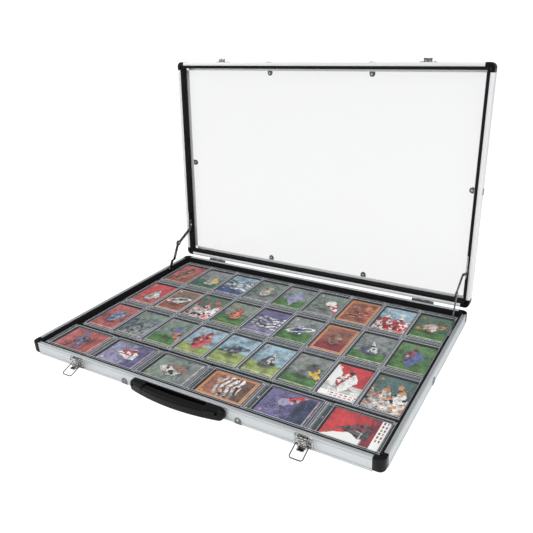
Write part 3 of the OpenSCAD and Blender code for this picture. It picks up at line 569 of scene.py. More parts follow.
# %% Rails
def rail_outline(lid):
    """Section of a rail in (u, z), anticlockwise, with a groove in the base's rim or a tongue on the lid's."""
    mid, h, line, deep = RAIL_T * 0.6, SHELL_H, 0.8, 0.7
    half, rise = (0.8, 0.9) if lid else (1.2, -1.2)
    foot = [(0, 0), (SKIN_T, 0), (SKIN_T, 3.4), (LEDGE_U, 3.4), (LEDGE_U, LEDGE_Z), (RAIL_T, LEDGE_Z),
            (RAIL_T, h)]
    rim = [(mid + half, h), (mid + half, h + rise), (mid - half, h + rise), (mid - half, h), (0, h)]
    lines = [point for top in (h - 3, LEDGE_Z + line)
             for point in ((0, top), (deep, top), (deep, top - line), (0, top - line))]
    radii = [1, 0.3, 0.5, 0.1, 0.3, 0.4, 0.7, 0.25, 0.2, 0.2, 0.25, 1.0] + [0.15] * 8
    return rounded(foot + rim + lines, radii)


for body, look in (("base", aluminium), ("lid", lid_aluminium_painted_light)):
    for wall, length in (("front", CASE_W), ("rear", CASE_W), ("left", CASE_D), ("right", CASE_D)):
        end = length / 2 - CORNER_LEN - 0.03
        rail = extruded(rail_outline(body == "lid"), (-end, end))
        rail = moved(rail, partial(on_wall, wall=wall), *SHELLS[body])
        make_piece(f"{body}_{wall}_rail_extrusion", [rail], look, body, [f"{body}_{wall}_rail"], crease=30)

# %% [markdown]
# ## The corners
# Each corner is a moulded cap that wraps the ends of two rails. Its section goes round a quarter circle and
# a little way along both walls. Near its ends it steps in, which draws the fine seam beside the rail.

# %% Corners
def corner_cap(under=6.0, top=1.2):
    """The cap's section carried along a straight leg, a quarter circle and another leg.

    The path is the line of the outer faces: a point at depth u lies that far along the inward normal.
    """
    bend = CORNER_R - PROUD
    leg = CORNER_LEN - np.array([0, 0.02, 1.6, 1.9, CORNER_LEN - bend])
    a = np.linspace(0, math.pi / 2, 17)[1:-1]
    turn = np.stack([np.sin(a), np.cos(a)], -1)
    path = np.concatenate([spread(leg, 0), bend * (1 - turn), spread(0, leg)[::-1]])
    inward = np.concatenate([np.tile([0, 1], (5, 1)), turn, np.tile([1, 0], (5, 1))])
    proud = np.full(len(path), PROUD)
    proud[:3] = proud[:-4:-1] = 0.08, 0.14, 0.16
    outline = rectangle(0, 0, RAIL_T, SHELL_H, [under, 0.5, 0.6, top], 8)
    u = outline[:, 0] - (outline[:, 0] < RAIL_T / 2) * proud[:, None]
    x, y = (path[:, k, None] + u * inward[:, k, None] for k in (0, 1))
    return grid(spread(x, y, outline[:, 1]))


def at_corner(sx, sy):
    return lambda points: (points - [CASE_W / 2, CASE_D / 2, 0]) * [sx, sy, 1]


CORNERS = [at_corner(sx, sy) for sx in (1, -1) for sy in (1, -1)]
for body, place in SHELLS.items():
    caps = copies([corner_cap()], CORNERS, *place)
    make_piece(f"{body}_corner_caps", caps, black_plastic, body, [f"{body}_corners"], crease=50)

# %% [markdown]
# ## Foam linings
# Strips of foam stand along the walls. Their section has soft upper corners. On the side walls the strip's top
# follows a line that dips round the pivot of a lid stay, so the section is lowered there, keeping its base.

# %% Foam linings
STAY_Y, NOTCH_AHEAD, NOTCH_BEHIND, NOTCH_R = 152.0, 31.0, 18.0, 10.0
LINER_TOP = SHELL_H - 0.6


def notch_line(length, floor, middle):
    """Places along a strip and the height of its top: a notch with an arc at each lower corner."""
    a = np.linspace(0, math.pi / 2, 9)
    arc = np.stack([NOTCH_R * (1 - np.cos(a)), floor + NOTCH_R * (1 - np.sin(a))], -1)
    side = np.concatenate([[[0.0, LINER_TOP], [0.02, floor + NOTCH_R + 0.02]], arc])
    start, end = middle - NOTCH_AHEAD, middle + NOTCH_BEHIND
    before = spread(np.linspace(-length / 2, start - 0.5, 12), LINER_TOP)
    after = [[end + 0.5, LINER_TOP], [length / 2, LINER_TOP]]
    return np.concatenate([before, side + [start, 0], (side * [-1, 1] + [end, 0])[::-1], after])


def liner(thick, line, low, soft=1.1):
    """The strip itself, in (along, u, z): points near the section's top are lowered with the line."""
    u, z = rectangle(RAIL_T, low, RAIL_T + thick, LINER_TOP, [0.2, 0.2, soft, soft], 5).T
    upper = z > (low + LINER_TOP) / 2
    return grid(spread(line[:, :1], u, z + upper * (line[:, 1:] - LINER_TOP)))


def liner_set(thick, low, floor, stay_y, place):
    """Two long strips, two side strips between them, and a thin backing behind the side strips' notches."""
    long_line = spread(np.linspace(-1, 1, 9) * (CASE_W / 2 - CORNER_R), LINER_TOP)
    side = notch_line(CASE_D - 2 * (RAIL_T + thick), floor, stay_y)
    behind = spread(np.linspace(side[0, 0], side[-1, 0], 5), LINER_TOP - 1.5)
    strips = [("front", liner(thick, long_line, low)), ("rear", liner(thick, long_line, low)),
              ("right", liner(thick, side, low)), ("left", liner(thick, side * [-1, 1], low)),
              ("right", liner(0.8, behind, low, 0.2)), ("left", liner(0.8, behind, low, 0.2))]
    return [moved(part, partial(on_wall, wall=wall), *place) for wall, part in strips]


for body, sizes in (("base", (4.0, LEDGE_Z, FLOOR_TOP - 1.4, STAY_Y)),
                    ("lid", (6.0, LEDGE_Z + 4.0, SHELL_H - 12.8, STAY_Y + 1.2))):
    make_piece(f"{body}_foam_strips", liner_set(*sizes, SHELLS[body]), foam, body, [f"{body}_liner"])

# %% [markdown]
# ## Clips and rivets
# A clip is one bent strip: a domed leg up the wall, a tight bend under the rail and a domed leg over the panel.
# A dome is a half circle: a distance d from its end, its half width is the root of r squared less
# (r - d) squared.

# %% Panel clips
def domed(distance, length, radius):
    """Half width at a distance along a strip whose two ends are half circles."""
    d = np.minimum(np.minimum(distance, length - distance), radius)
    return np.sqrt(np.maximum(radius ** 2 - (radius - d) ** 2, 0)) + 0.02


def clip_part():
    """In (along, u, z) at the front wall, with its outer faces at u = -0.8 and z = 0."""
    thick, reach, rise, end_r = 0.8, 26.9, 12.1, 6.0
    a = np.linspace(0, math.pi / 2, 10)
    top = spread(0, rise - end_r * (1 - np.cos(a)))
    end = spread(reach - end_r * (1 - np.sin(a)), thick)
    corner = bend_path([(0, 6.0), (0, thick), (reach - 6.1, thick)], [0.5])
    path = np.concatenate([top[:-1], corner[:-1], end])
    half = domed(along(path), along(path)[-1], 5.95)
    return strip(side_on(path, 1), side_on(-left_of(path), 1), half, thick, (-1, -0.8, 0, 0.8, 1))


def clip_place(wall, x):
    return lambda points: on_wall(points + [x, 0, 0], wall)


CLIPS = [clip_place(wall, x) for wall in ("front", "rear") for x in (-CASE_W / 6, CASE_W / 6)]
CLIPS += [clip_place(wall, 0) for wall in ("right", "left")]
clip_heads = [facing(dome(2.3, 0.75), -Y, (0, -0.8, 8.2)), facing(dome(2.4, 0.35, 0.5), -Z, (0, 20.0, 0.4))]
for body, place in SHELLS.items():
    clips = copies([clip_part()], CLIPS, *place)
    make_piece(f"{body}_clips", clips, clip_steel, body, [f"{body}_panel_clips"], soften=0.18)
    heads = copies(clip_heads, CLIPS, *place)
    make_piece(f"{body}_clip_rivet_heads", heads, steel, body, [f"{body}_clip_rivets"], crease=50)
window_rivet = facing(dome(2.3, 0.5), Z, (0, 21.2, 3.4))
make_piece("window_rivet_ends", copies([window_rivet], CLIPS, open_lid), aluminium, "lid", crease=50)

# %% [markdown]
# ## The hinges
# Two rolled knuckles of the lid's leaf turn between three of the base's. Each knuckle is a tube with
# broken edges.

# %% Hinges
HINGE_X, HINGE_LEN, LEAF_T, LEAF_H = CASE_W / 2 - 92, 45.0, 1.2, 16.0
KNUCKLE_R, BORE_R, WIDTH, EDGE = 2.9, 1.46, HINGE_LEN / 5 - 0.2, 0.3
HINGES = [shift(side * HINGE_X, CASE_D / 2) for side in (-1, 1)]
KNUCKLE_PROFILE = [(BORE_R, 0), (KNUCKLE_R - EDGE, 0), (KNUCKLE_R, EDGE), (KNUCKLE_R, WIDTH - EDGE),
                   (KNUCKLE_R - EDGE, WIDTH), (BORE_R, WIDTH)]


def hinge_leaf(first, low, attach_low, attach_high):
    """A leaf in case coordinates with its knuckles, the first of them at the given place in the row."""
    outline = rectangle(-HINGE_LEN / 2, low, HINGE_LEN / 2, low + LEAF_H, 1.5, 5)
    parts = [placed(slab(outline, 0, LEAF_T, 0.2), X, Z, Y)]
    for k in range(first, 5, 2):
        x = -HINGE_LEN / 2 + k * HINGE_LEN / 5 + 0.1
        parts.append(facing(turned(KNUCKLE_PROFILE), X, (x, HINGE_BACK, HINGE[2])))
        web = rectangle(x, attach_low, x + WIDTH, attach_high, 0.2, 2)
        parts.append(placed(slab(web, 0.02, LEAF_T - 0.02, 0.15), X, Z, Y))
    return parts


def leaf_heads(middle):
    """The three rivets in a row across the middle of a leaf."""
    return [facing(dome(2.3, 0.75), Y, (e * (HINGE_LEN / 2 - 6), LEAF_T, middle)) for e in (-1, 0, 1)]


LEAVES = (("base", 0, SHELL_H - 3.2 - LEAF_H, (SHELL_H - 5.2, HINGE[2] - 0.5), ()),
          ("lid", 1, LID_LOW + 3.2, (HINGE[2] + 0.5, LID_LOW + 5.2), (swing,)))
for body, first, low, attach, place in LEAVES:
    leaf = copies(hinge_leaf(first, low, *attach), HINGES, *place)
    make_piece(f"hinge_{body}_rolled", leaf, dark_steel, body, [f"hinge_{body}_leaves"])
for body, _, low, _, place in LEAVES:
    heads = copies(leaf_heads(low + LEAF_H / 2), HINGES, *place)
    make_piece(f"hinge_{body}_heads", heads, steel, body, [f"hinge_{body}_rivets"], crease=50)

# %% [markdown]
# ## The draw latches
# The plate is stamped with rounded corners and two ears. The lever is one strip: it curls over its pivot, runs
# down with three pressed ribs, and turns out into a slotted thumb tab. A wire bail hangs on its sides.

# %% Latches
LEVER_W, EAR_X, BAIL_W, WIRE_R = 15.6, 8.1, 21.4, 0.9
LATCHES = {"left": shift(-LATCH_X, -CASE_D / 2), "right": shift(LATCH_X, -CASE_D / 2)}


def cheek_plate(outline, x, thick, edge):
    """A plate drawn in (depth out from the wall, z), standing across the case from x."""
    return placed(slab(outline, 0, thick, edge), -Y, Z, X, (x, 0, 0))


def latch_plate():
    """The plate, the step pressed into it and its two ears."""
    ear = rectangle(0.6, 15.4, 7.4, 21.4, [0.4, 3, 3, 0.4], 8)
    parts = [facing(slab(rectangle(-15, 2, 15, 23, 3.0, 6), 0, 1.0, 0.35), -Y),
             facing(slab(rectangle(-11.6, 4.4, 11.6, 7.2, 1.3, 4), 0.9, 1.25, 0.2), -Y)]
    return parts + [cheek_plate(ear, x, 1.2, 0.25) for x in (-EAR_X - 1.2, EAR_X)]


def lever_parts():
    """The lever's strip with its ribs, and its two cheeks, at x = 0 in front of the wall."""
    face, skin, tab_z, curl_r, stations = PIVOT_D + 3.0, 1.0, 4.62, 2.0, 30
    a = np.radians(np.linspace(150, 0, 14))
    curl = np.stack([PIVOT_D + curl_r * np.cos(a), LEVER_PIVOT_Z + curl_r * np.sin(a)], -1)
    down = spread(face - skin, np.linspace(LEVER_PIVOT_Z - 0.4, 6.4, stations))
    turn = bend_path([(face - skin, 6.2), (face - skin, tab_z), (face + 6.9, tab_z)], [1.2], 6)
    path = np.concatenate([curl, down, turn[1:-1], spread([8.9, 10.6, 12.2, 13.6, 14.3], tab_z)])
    n, height = len(path), path[:, 1]
    half = np.full(n, LEVER_W / 2)
    half[-9:] = 7.6, 6.9, 6.2, 5.9, 5.9, 5.9, 5.9, 5.6, 4.9
    columns = (-1, -0.72, -0.58, -0.3, 0, 0.3, 0.58, 0.72, 1)
    strap = strip(side_on(path), side_on(left_of(path)), half, skin, columns, holes=[(n - 5, n - 2, 2, 6)])
    ribs = sum(np.exp(-((height - z) / 0.55) ** 2) for z in (8.2, 10.7, 13.2))
    p = strap["points"]
    middle = np.abs(p[:, 0]) < 0.66 * LEVER_W / 2
    on_face = np.isclose(p[:, 1], skin - face, atol=0.02) | np.isclose(p[:, 1], -face, atol=0.02)
    rising = slice(len(a) + stations - 1, len(a) - 1, -1)
    p[:, 1] -= np.interp(p[:, 2], height[rising], ribs[rising]) * 0.5 * middle * on_face
    cheek = rounded([(2.1, 8.4), (5.0, 4.7), (face - 0.4, 4.7), (face - 0.4, 21.2), (2.1, 21.2)],
                    [1.0, 1.5, 0.6, 2.6, 2.2], 6)
    return [strap] + [cheek_plate(cheek, x, 1.0, 0.2) for x in (-LEVER_W / 2, LEVER_W / 2 - 1)]


def bail_part():
    """The wire loop: two stubs, two legs and a cross bar, laid out flat and then dropped to the table."""
    above_table = WIRE_R + 0.3
    length = LID_LOW + 7.4 + above_table - BAIL_PIVOT_Z
    drop = math.asin((BAIL_PIVOT_Z - above_table) / length)
    half, stub = BAIL_W / 2, LEVER_W / 2 - 1.55
    corners = [(-stub, 0), (-half, 0), (-half, length), (half, length), (half, 0), (stub, 0)]
    x, reach = bend_path(corners, [0.95, 4, 4, 0.95], 8).T
    path = np.stack([x, -reach * math.cos(drop), -reach * math.sin(drop)], -1)
    return moved(tube(path, (0, math.sin(drop), -math.cos(drop)), WIRE_R), shift(0, -PIVOT_D, BAIL_PIVOT_Z))


plate_heads = [facing(dome(2.3, 0.7), -Y, (e * 11.6, -1.0, 12.5)) for e in (-1, 1)]
pivot = [facing(dome(1.5, 0.28), e * X, (e * 9.3, -PIVOT_D, LEVER_PIVOT_Z)) for e in (-1, 1)]
pin = turned([(0, 0.1), (1.48, 0.1), (1.48, 18.7), (0, 18.7)])
pivot.append(facing(pin, X, (-9.4, -PIVOT_D, LEVER_PIVOT_Z)))
for name, parts, node, crease in (
    ("latch_plates_pressed", latch_plate(), "latch_plates", 40),
    ("latch_plate_heads", plate_heads, "latch_plate_rivets", 50), ("latch_pivot_pins", pivot, "latch_pins", 50),
):
    make_piece(name, copies(parts, LATCHES.values()), steel, "base", [node], crease=crease)
# A thin black plate under each thumb tab's slot paints the shade seen through the slot; it is not a real part.
tab_slot_shade_plate = slab(rectangle(-3.9, 8.8, 3.9, 13.3, 0.6, 3) * [1, -1], 3.9, 4.75, 0.1)
for side, place in LATCHES.items():
    lever, bail = f"latch_lever_{side}", f"latch_bail_{side}"
    make_piece(f"{lever}_sheet", copies(lever_parts(), [place]), steel, lever, [lever], soften=0.15)
    make_piece(f"latch_tab_{side}_slot_shade_plate", [moved(tab_slot_shade_plate, place)], black_plastic, lever)
    make_piece(f"{bail}_wire", [moved(bail_part(), place)], wire_steel, bail, [bail])

# %% [markdown]
# The strike on the lid is a small plate whose middle is bent out into a hook with a raised lip.

# %% Strikes
def strike_parts():
    path = bend_path([(0.6, LID_LOW + 6.25), (7.55, LID_LOW + 6.25), (7.55, LID_LOW + 11.3)], [1.3], 6)
    half = np.full(len(path), (BAIL_W - 2 * WIRE_R - 3.4) / 2)
    half[-1] -= 0.8
    hook = strip(side_on(path), side_on(left_of(path)), half, 1.15, (-1, -0.85, 0.85, 1))
    plate = slab(rectangle(-16, LID_LOW + 3, 16, LID_LOW + 17, 3.0, 6), 0, 1.0, 0.35)
    return [facing(plate, -Y), hook]


strike_heads = [facing(dome(2.3, 0.7), -Y, (e * 12, -1.0, LID_LOW + 10)) for e in (-1, 1)]
strikes = copies(strike_parts(), LATCHES.values(), swing)
make_piece("strike_hooks", strikes, steel, "lid", ["strikes"], soften=0.15)
strike_heads = copies(strike_heads, LATCHES.values(), swing)
make_piece("strike_heads", strike_heads, steel, "lid", ["strike_rivets"], crease=50)

# %% [markdown]
# ## The handle
# Grip and end caps share one bow: a circle arc seen from above. Each station has a rounded section, and the caps
# close towards their ends along a quarter circle in both views, which gives their soft, blunt ends.

# %% Handle
HANDLE_LEN, CAP_LEN, CAP_H, GRIP_D, GRIP_PIVOT, GRIP_Z = 190.0, 33.0, 20.0, 14.0, 9.5, 12.0
GRIP_LOW, GRIP_TOP, OUTER_BOW, INNER_BOW = 2.0, 20.0, 4.5, 2.5
CAP_IN = HANDLE_LEN / 2 - CAP_LEN
GRIP_HALF = CAP_IN - 0.3


def bow_depth(bow, x, beyond):
    """Distance from the wall of a bowed line at x, a little beyond the arc through the grip's pivots.

    The arc's radius is (half length squared + bow squared) / (2 bow), so its middle stands out by the bow.
    """
    radius = (GRIP_HALF ** 2 + bow ** 2) / (2 * bow)
    return np.sqrt((radius + beyond) ** 2 - x ** 2) - (radius - bow - GRIP_PIVOT)


def grip_part():
    """The section carried round the bow, drawn in a little at both ends where it meets the caps."""
    steps = np.array([0, 0.15, 0.5, 1.1])
    from_end = np.concatenate([steps, np.linspace(3, 2 * GRIP_HALF - 3, 41), 2 * GRIP_HALF - steps[::-1]])
    x = (GRIP_HALF - from_end)[:, None]
    inset = np.interp(GRIP_HALF - np.abs(x), steps, [0.75, 0.35, 0.08, 0])
    half_d, half_h = GRIP_D / 2, (GRIP_TOP - GRIP_LOW) / 2
    section = rectangle(-half_d, -half_h, half_d, half_h, 5.0, 10)
    beyond, rise = section.T[:, None] * (1 - inset / np.linalg.norm(section, axis=1))
    outer, inner = (bow_depth(bow, x, beyond) for bow in (OUTER_BOW, INNER_BOW))
    depth = np.where(section[:, 0] > 0, outer, inner)
    return grid(spread(x, -CASE_D / 2 - depth, (GRIP_LOW + GRIP_TOP) / 2 + rise))


def cap_part():
    """A D-shaped section from the wall out to the bow, drawn in where the cap's end rounds off."""
    r, end = 8.0, HANDLE_LEN / 2
    t = np.linspace(0, math.pi / 2 - 0.02, 14)
    seam = np.array([0, 0.12, 0.4])
    x = np.concatenate([CAP_IN + seam, np.linspace(CAP_IN + 2, end - r - 1, 9), end - r + r * np.sin(t)])
    drop = r - np.sqrt(r ** 2 - np.clip(x - (end - r), 0, r) ** 2)
    lip = np.interp(x - CAP_IN, seam, [0.45, 0.15, 0])
    centre = bow_depth(OUTER_BOW, end - r, GRIP_D / 2 - r)
    bow = bow_depth(OUTER_BOW, x, GRIP_D / 2)
    depth = np.where(x > end - r, np.minimum(bow, centre + r - drop), bow) - lip
    half = CAP_H / 2 - drop - lip
    edge = np.minimum(5.0, 0.9 * np.minimum(half, depth))
    rows = [rectangle(0, -h, d, h, [0.02, e, e, 0.02], 8) for h, d, e in zip(half, depth, edge)]
    out, up = np.moveaxis(np.stack(rows), -1, 0)
    return grid(spread(x[:, None], -CASE_D / 2 - out, GRIP_Z + up))


make_piece("handle_grip_bar", [grip_part()], grip_plastic, "handle", ["handle_grip"], crease=50)
back = slab(rectangle(-CAP_IN - 0.9, 2.6, CAP_IN + 0.9, 21.4, 0.4, 3), 0.02, 0.8, 0.2)
back = facing(back, -Y, (0, -CASE_D / 2, 0))
make_piece("handle_back_plate", [back], grip_plastic, "base", ["handle_mount"])
caps = copies([cap_part()], [mirror(1), mirror(-1)])
caps = make_piece("handle_end_caps", caps, grip_plastic, "base", ["handle_mount"], crease=50)

# %% [markdown]
# Each cap has a recess with a screw in it. The recess is cut with a Boolean modifier that is applied at once.

# %% Handle screws
SCREW_X, SCREW_Z, SCREW_R, RECESS_R, RECESS_FLOOR = 85.0, 16.0, 2.3, 2.7, 8.01


def cut(piece, part):
    """Subtracts a closed shape from a piece and keeps the result as the piece's mesh."""
    tool = make_piece("cutter", [part], piece.data.materials[0], None)
    change = piece.modifiers.new("cut", "BOOLEAN")
    change.operation, change.object, change.solver = "DIFFERENCE", tool, "EXACT"
    bpy.context.view_layer.update()
    result = bpy.data.meshes.new_from_object(piece.evaluated_get(bpy.context.evaluated_depsgraph_get()))
    piece.modifiers.clear()
    old, piece.data = piece.data, result
    bpy.data.objects.remove(tool)
    bpy.data.meshes.remove(old)
    result.shade_smooth()
    result.set_sharp_from_angle(angle=math.radians(40))


def screw_head(radius, high):
    """A low dome with a cross pressed into it: rings whose height drops near both axes."""
    rings = np.array([0.98, 1, 0.93, 0.8, 0.66, 0.5, 0.34, 0.18, 0.02 / radius])
    heights = np.concatenate([[-1.0, 0.0], high * (1 - rings[2:] ** 2) ** 0.5])
    part = turned(np.stack([radius * rings, heights], -1), 48)
    p = part["points"]
    near = np.abs(p[:, :2]).min(1)
    p[:, 2] -= 0.7 * ((near < 0.34) & (np.hypot(p[:, 0], p[:, 1]) < radius * 0.7))
    return part


for s in (-1, 1):
    hole = turned([(0, RECESS_FLOOR), (RECESS_R, RECESS_FLOOR), (RECESS_R, 20), (0, 20)], 32)
    cut(caps, facing(hole, -Y, (s * SCREW_X, -CASE_D / 2, SCREW_Z)))
heads = [facing(screw_head(SCREW_R, 0.9), -Y, (s * SCREW_X, -CASE_D / 2 - 8.7, SCREW_Z)) for s in (-1, 1)]
make_piece("handle_screw_heads", heads, steel, "base", ["handle_screws"], crease=45)

# %% [markdown]
# ## The lid stays
# Each arm is one flat strip that steps sideways, so that the two arms pass each other and the holders. Its half
# width swells to a circle at each end. The place of the middle pivot follows from the two lengths: it is where
# two circles about the outer pivots cross.

# %% Stays
BASE_PIVOT = HINGE[1:] + [-80.2, -6.1]
LID_PIVOT_CLOSED = HINGE[1:] + [-79.0, 6.0]
LID_PIVOT = swing(np.array([0, *LID_PIVOT_CLOSED]))[1:]
LOWER, UPPER, ARM_T, ARM_W = 66.2, 65.4, 1.8, 7.0
ARM_LEVEL, ARM_INSET = 8.5, 13.4
UPPER_INSET = ARM_INSET + ARM_T + 0.3
OUTER_R, MIDDLE_R, RIB_STEP = 4.0, 6.0, 3.6
SIDES = {"right": mirror(1), "left": mirror(-1)}


def crossing(a, b, ra, rb):
    """Where circles about a and b cross, on the left of the way from a to b.

    The crossing's foot lies (d squared + ra squared - rb squared) / 2d along the line that joins the centres.
    """
    d = np.linalg.norm(b - a)
    e = (b - a) / d
    foot = (d * d + ra * ra - rb * rb) / (2 * d)
    return a + foot * e + math.sqrt(ra * ra - foot * foot) * np.array([-e[1], e[0]])


def arm(length, straight, step, pivot, knuckle, ribs=False, slot=False):
    """An arm on the right-hand side, from its outer pivot towards the middle one."""
    start = -OUTER_R * np.cos(np.linspace(0, math.pi / 2, 9))
    end = length + MIDDLE_R * np.sin(np.linspace(-math.pi / 2, math.pi / 2, 17))
    s = np.unique(np.concatenate([start, np.linspace(0, length - MIDDLE_R, 92), end]).round(3))
    circles = [np.sqrt(np.maximum(r * r - (s - c) ** 2, 0)) for c, r in ((0, OUTER_R), (length, MIDDLE_R))]
    half = np.maximum.reduce([*circles, (s >= 0) * (s <= length) * ARM_W / 2]) + 0.02
    half = np.convolve(np.pad(half, 1, mode="edge"), [0.2, 0.6, 0.2], "valid")
    half = half * (s > 0.1 - OUTER_R) * (s < length + MIDDLE_R - 0.1) + 0.02
    k = np.clip((s - straight) / step, 0, 1)
    rise = step * (k - np.sin(2 * math.pi * k) / (2 * math.pi) * 0.6)
    first = straight + step + 3.8
    ridge = ribs * 0.5 * sum(np.exp(-((s - first - RIB_STEP * n) / 0.75) ** 2) for n in range(8))
    a, b = np.searchsorted(s, [straight + step + 5, straight + step + 20])
    ahead = unit(knuckle - pivot)
    path = spread(CASE_W / 2 - ARM_LEVEL - rise, *(pivot + s[:, None] * ahead).T)
    columns = (-1, -0.93, -0.6, -0.34, 0, 0.34, 0.6, 0.93, 1)
    return strip(path, np.tile(-X, (len(s), 1)), half, ARM_T + ridge, columns, [(a, b, 3, 5)] if slot else (),
                 (0, -ahead[1], ahead[0]))


def bracket(pivot, away):
    """The plate that carries a pivot, and its two rivets' heads beside it."""
    inner, low = CASE_W / 2 - RAIL_T, -6.0 if away < 0 else -5.0
    plate = slab(rectangle(-12, low, 12, low + 11, 2.2, 6) + pivot, 0, 1.2, 0.25)
    spots = [(inner - 1.2, pivot[0] + e * 9.4, pivot[1] + away * 4) for e in (-1, 1)]
    return [placed(plate, Y, Z, -X, (inner, 0, 0))], [facing(dome(1.2, 0.25), -X, spot) for spot in spots]


KNUCKLE = crossing(BASE_PIVOT, LID_PIVOT, LOWER, UPPER)
lower = arm(LOWER, 21, ARM_INSET - ARM_LEVEL, BASE_PIVOT, KNUCKLE, slot=True)
upper = arm(UPPER, 7, UPPER_INSET - ARM_LEVEL, LID_PIVOT, KNUCKLE, ribs=True)
knuckle_end = (CASE_W / 2 - UPPER_INSET - ARM_T, *KNUCKLE)
middle, washer = (facing(dome(*sizes), -X, knuckle_end) for sizes in ((3.2, 0.98), (MIDDLE_R, 0.45)))
for side, place in SIDES.items():
    for name, part in (("lower", lower), ("upper", upper)):
        body = f"stay_{name}_{side}"
        make_piece(f"{body}_arm", [moved(part, place)], arm_steel, body, [body], soften=0.3)
    make_piece(f"stay_knuckle_{side}", [moved(middle, place)], steel, f"stay_upper_{side}", crease=50)
    make_piece(f"stay_washer_{side}", [moved(washer, place)], dark_steel, f"stay_upper_{side}", crease=50)
shank = turned([(0, -4.9), (1.98, -4.9), (1.98, 0), (0, 0)])
for body, pivot, away, place in (("base", BASE_PIVOT, -1, ()), ("lid", LID_PIVOT_CLOSED, 1, (swing,))):
    plate, heads = bracket(pivot, away)
    pins = [facing(q, -X, (CASE_W / 2 - ARM_LEVEL - ARM_T - 0.2, *pivot)) for q in (dome(3.5, 0.8), shank)]
    for name, parts, look, node, crease in (
        ("plates", plate, dark_steel, "brackets", 40), ("heads", heads, steel, "rivets", 50),
        ("pivot_heads", pins, steel, "pins", 50),
    ):
        parts = copies(parts, SIDES.values(), *place)
        make_piece(f"stay_{body}_{name}", parts, look, body, [f"stay_{body}_{node}"], crease=crease)

# %% [markdown]
# ## The card holders
# A holder is a clear back and a clear cover. The cover steps in once all round, and a shallow frame runs round
# its window. Loops of rounded rectangles, one above the other, draw all of it. The flat faces are almost
# see-through; the narrow steps and edges get a brighter finish that paints the highlights they catch, and the
# upright walls a darker one that paints the shade they show.

# %% Holders
HOLDER_W, HOLDER_L, CARD_W, CARD_L = 73.4, 112.0, 63.5, 88.9
CARD_X, CARD_Y = (HOLDER_W - CARD_W) / 2, (HOLDER_L - CARD_L) / 2 - 3.4


def holder_spots():
    """The two axes and the corner of each holder: six lie across the front, the rest stand in three rows."""
    right, front = CASE_W / 2 - 11.6, -CASE_D / 2 + 16.5
    lying = [(Y, -X, Z, (right - i * (HOLDER_L + 0.3), front, FLOOR_TOP)) for i in range(6)]
    left, back = right - HOLDER_W, front + HOLDER_W + 7.6
    standing = [(X, Y, Z, (left - i * (HOLDER_W + 0.3), back + j * (HOLDER_L + 1.2), FLOOR_TOP))
                for j in range(3) for i in range(9)]
    return lying + standing


def wall_loop(d, radius, z):
    """A loop a distance d inside the holder's outline."""
    return spread(*rectangle(d, d, HOLDER_W - d, HOLDER_L - d, radius).T, z)


def frame_loop(d, radius, z):
    """A loop a distance d outside the card's outline."""
    return spread(*rectangle(CARD_X - d, CARD_Y - d, CARD_X + CARD_W + d, CARD_Y + CARD_L + d, radius).T, z)


def between(*loops):
    return grid(np.stack(loops), capped=False)


def pane(loop, step=1):
    """A flat face inside one loop, turned over where step is -1."""
    return {"points": loop, "faces": [list(range(len(loop)))[::step]]}


WALL = [wall_loop(*row) for row in ((0.35, 1.2, 0.0), (0.03, 1.5, 0.35), (0.03, 1.5, 3.2), (0.3, 1.4, 3.45),
                                    (0.03, 1.5, 3.7), (0.03, 1.5, 4.8), (0.75, 1.3, 5.25))]
STEP = [wall_loop(*row) for row in ((1.7, 1.6, 5.25), (1.75, 1.6, 6.5), (2.5, 1.4, 7.0))]
RIM = [frame_loop(*row) for row in ((3.0, 1.4, 7.0), (2.3, 1.2, 6.6), (2.2, 1.2, 6.2))]


def spread_holders(parts):
    return [placed(part, *spot) for spot in holder_spots() for part in parts]


lines = [between(*loops) for loops in (WALL[:2], WALL[2:5], WALL[5:], STEP[1:], RIM[:2])]
walls = [between(*loops) for loops in (WALL[1:3], WALL[4:6], STEP[:2], RIM[1:])]
faces = [between(WALL[-1], STEP[0]), between(STEP[-1], RIM[0]), pane(WALL[0], -1)]
for name, parts, look, node in (
    ("holder_broken_edges", lines, holder_edge_highlight, "holder_backs"),
    ("holder_walls", walls, holder_wall_shade, "holder_backs"),
    ("holder_frames", faces, holder_clear, "holder_covers"),
    ("holder_windows", [pane(RIM[-1])], holder_window, "holder_covers"),
):
    make_piece(name, spread_holders(parts), look, "base", [node], crease=30, outward=False)
disc = turned([(0, 2.7), (2.8, 2.7), (3.0, 2.9), (3.0, 4.1), (2.8, 4.3), (0, 4.3)], 20)
disc = moved(disc, shift(HOLDER_W / 2, HOLDER_L - 6.2))
peg = turned([(0, 3.0), (1.0, 3.0), (1.0, 5.2), (0.8, 5.4), (0, 5.4)], 12)
pegs = copies([peg], [shift(x, y) for x in (4.2, HOLDER_W - 4.2) for y in (4.0, HOLDER_L - 4.0)])
make_piece("holder_magnet_discs", spread_holders([disc]), steel, "base", ["holder_magnets"])
make_piece("holder_pegs", spread_holders(pegs), peg_clear, "base")

# %% [markdown]
# ## The cards
# Each card is a thin board with rounded corners. Its print is drawn by the shader from the card's own map, in
# which x runs 0..1 across the card and y 0..1 along it. Every card carries its inks and a plan as face colours:
# the plan gives its motif, a number that varies the drawing, the border's width and whether it is vivid.

# %% Card inks
INKS = {
    "salmon": (0.52, 0.10, 0.09), "red": (0.60, 0.015, 0.025), "crimson": (0.30, 0.01, 0.03),
    "rust": (0.34, 0.09, 0.04), "orange": (0.55, 0.19, 0.04), "brown": (0.17, 0.075, 0.045),
    "tan": (0.46, 0.30, 0.19), "yellow": (0.74, 0.48, 0.05), "lime": (0.36, 0.46, 0.12),
    "green": (0.07, 0.22, 0.035), "pine": (0.04, 0.14, 0.08), "teal": (0.03, 0.13, 0.12),
    "sky": (0.34, 0.52, 0.62), "blue": (0.03, 0.075, 0.26), "navy": (0.02, 0.035, 0.12),
    "violet": (0.12, 0.10, 0.28), "lilac": (0.27, 0.25, 0.42), "grey": (0.24, 0.27, 0.26),
    "stone": (0.36, 0.38, 0.36), "white": (0.80, 0.80, 0.78), "black": (0.012, 0.012, 0.016),
    "sage": (0.19, 0.26, 0.21),
}
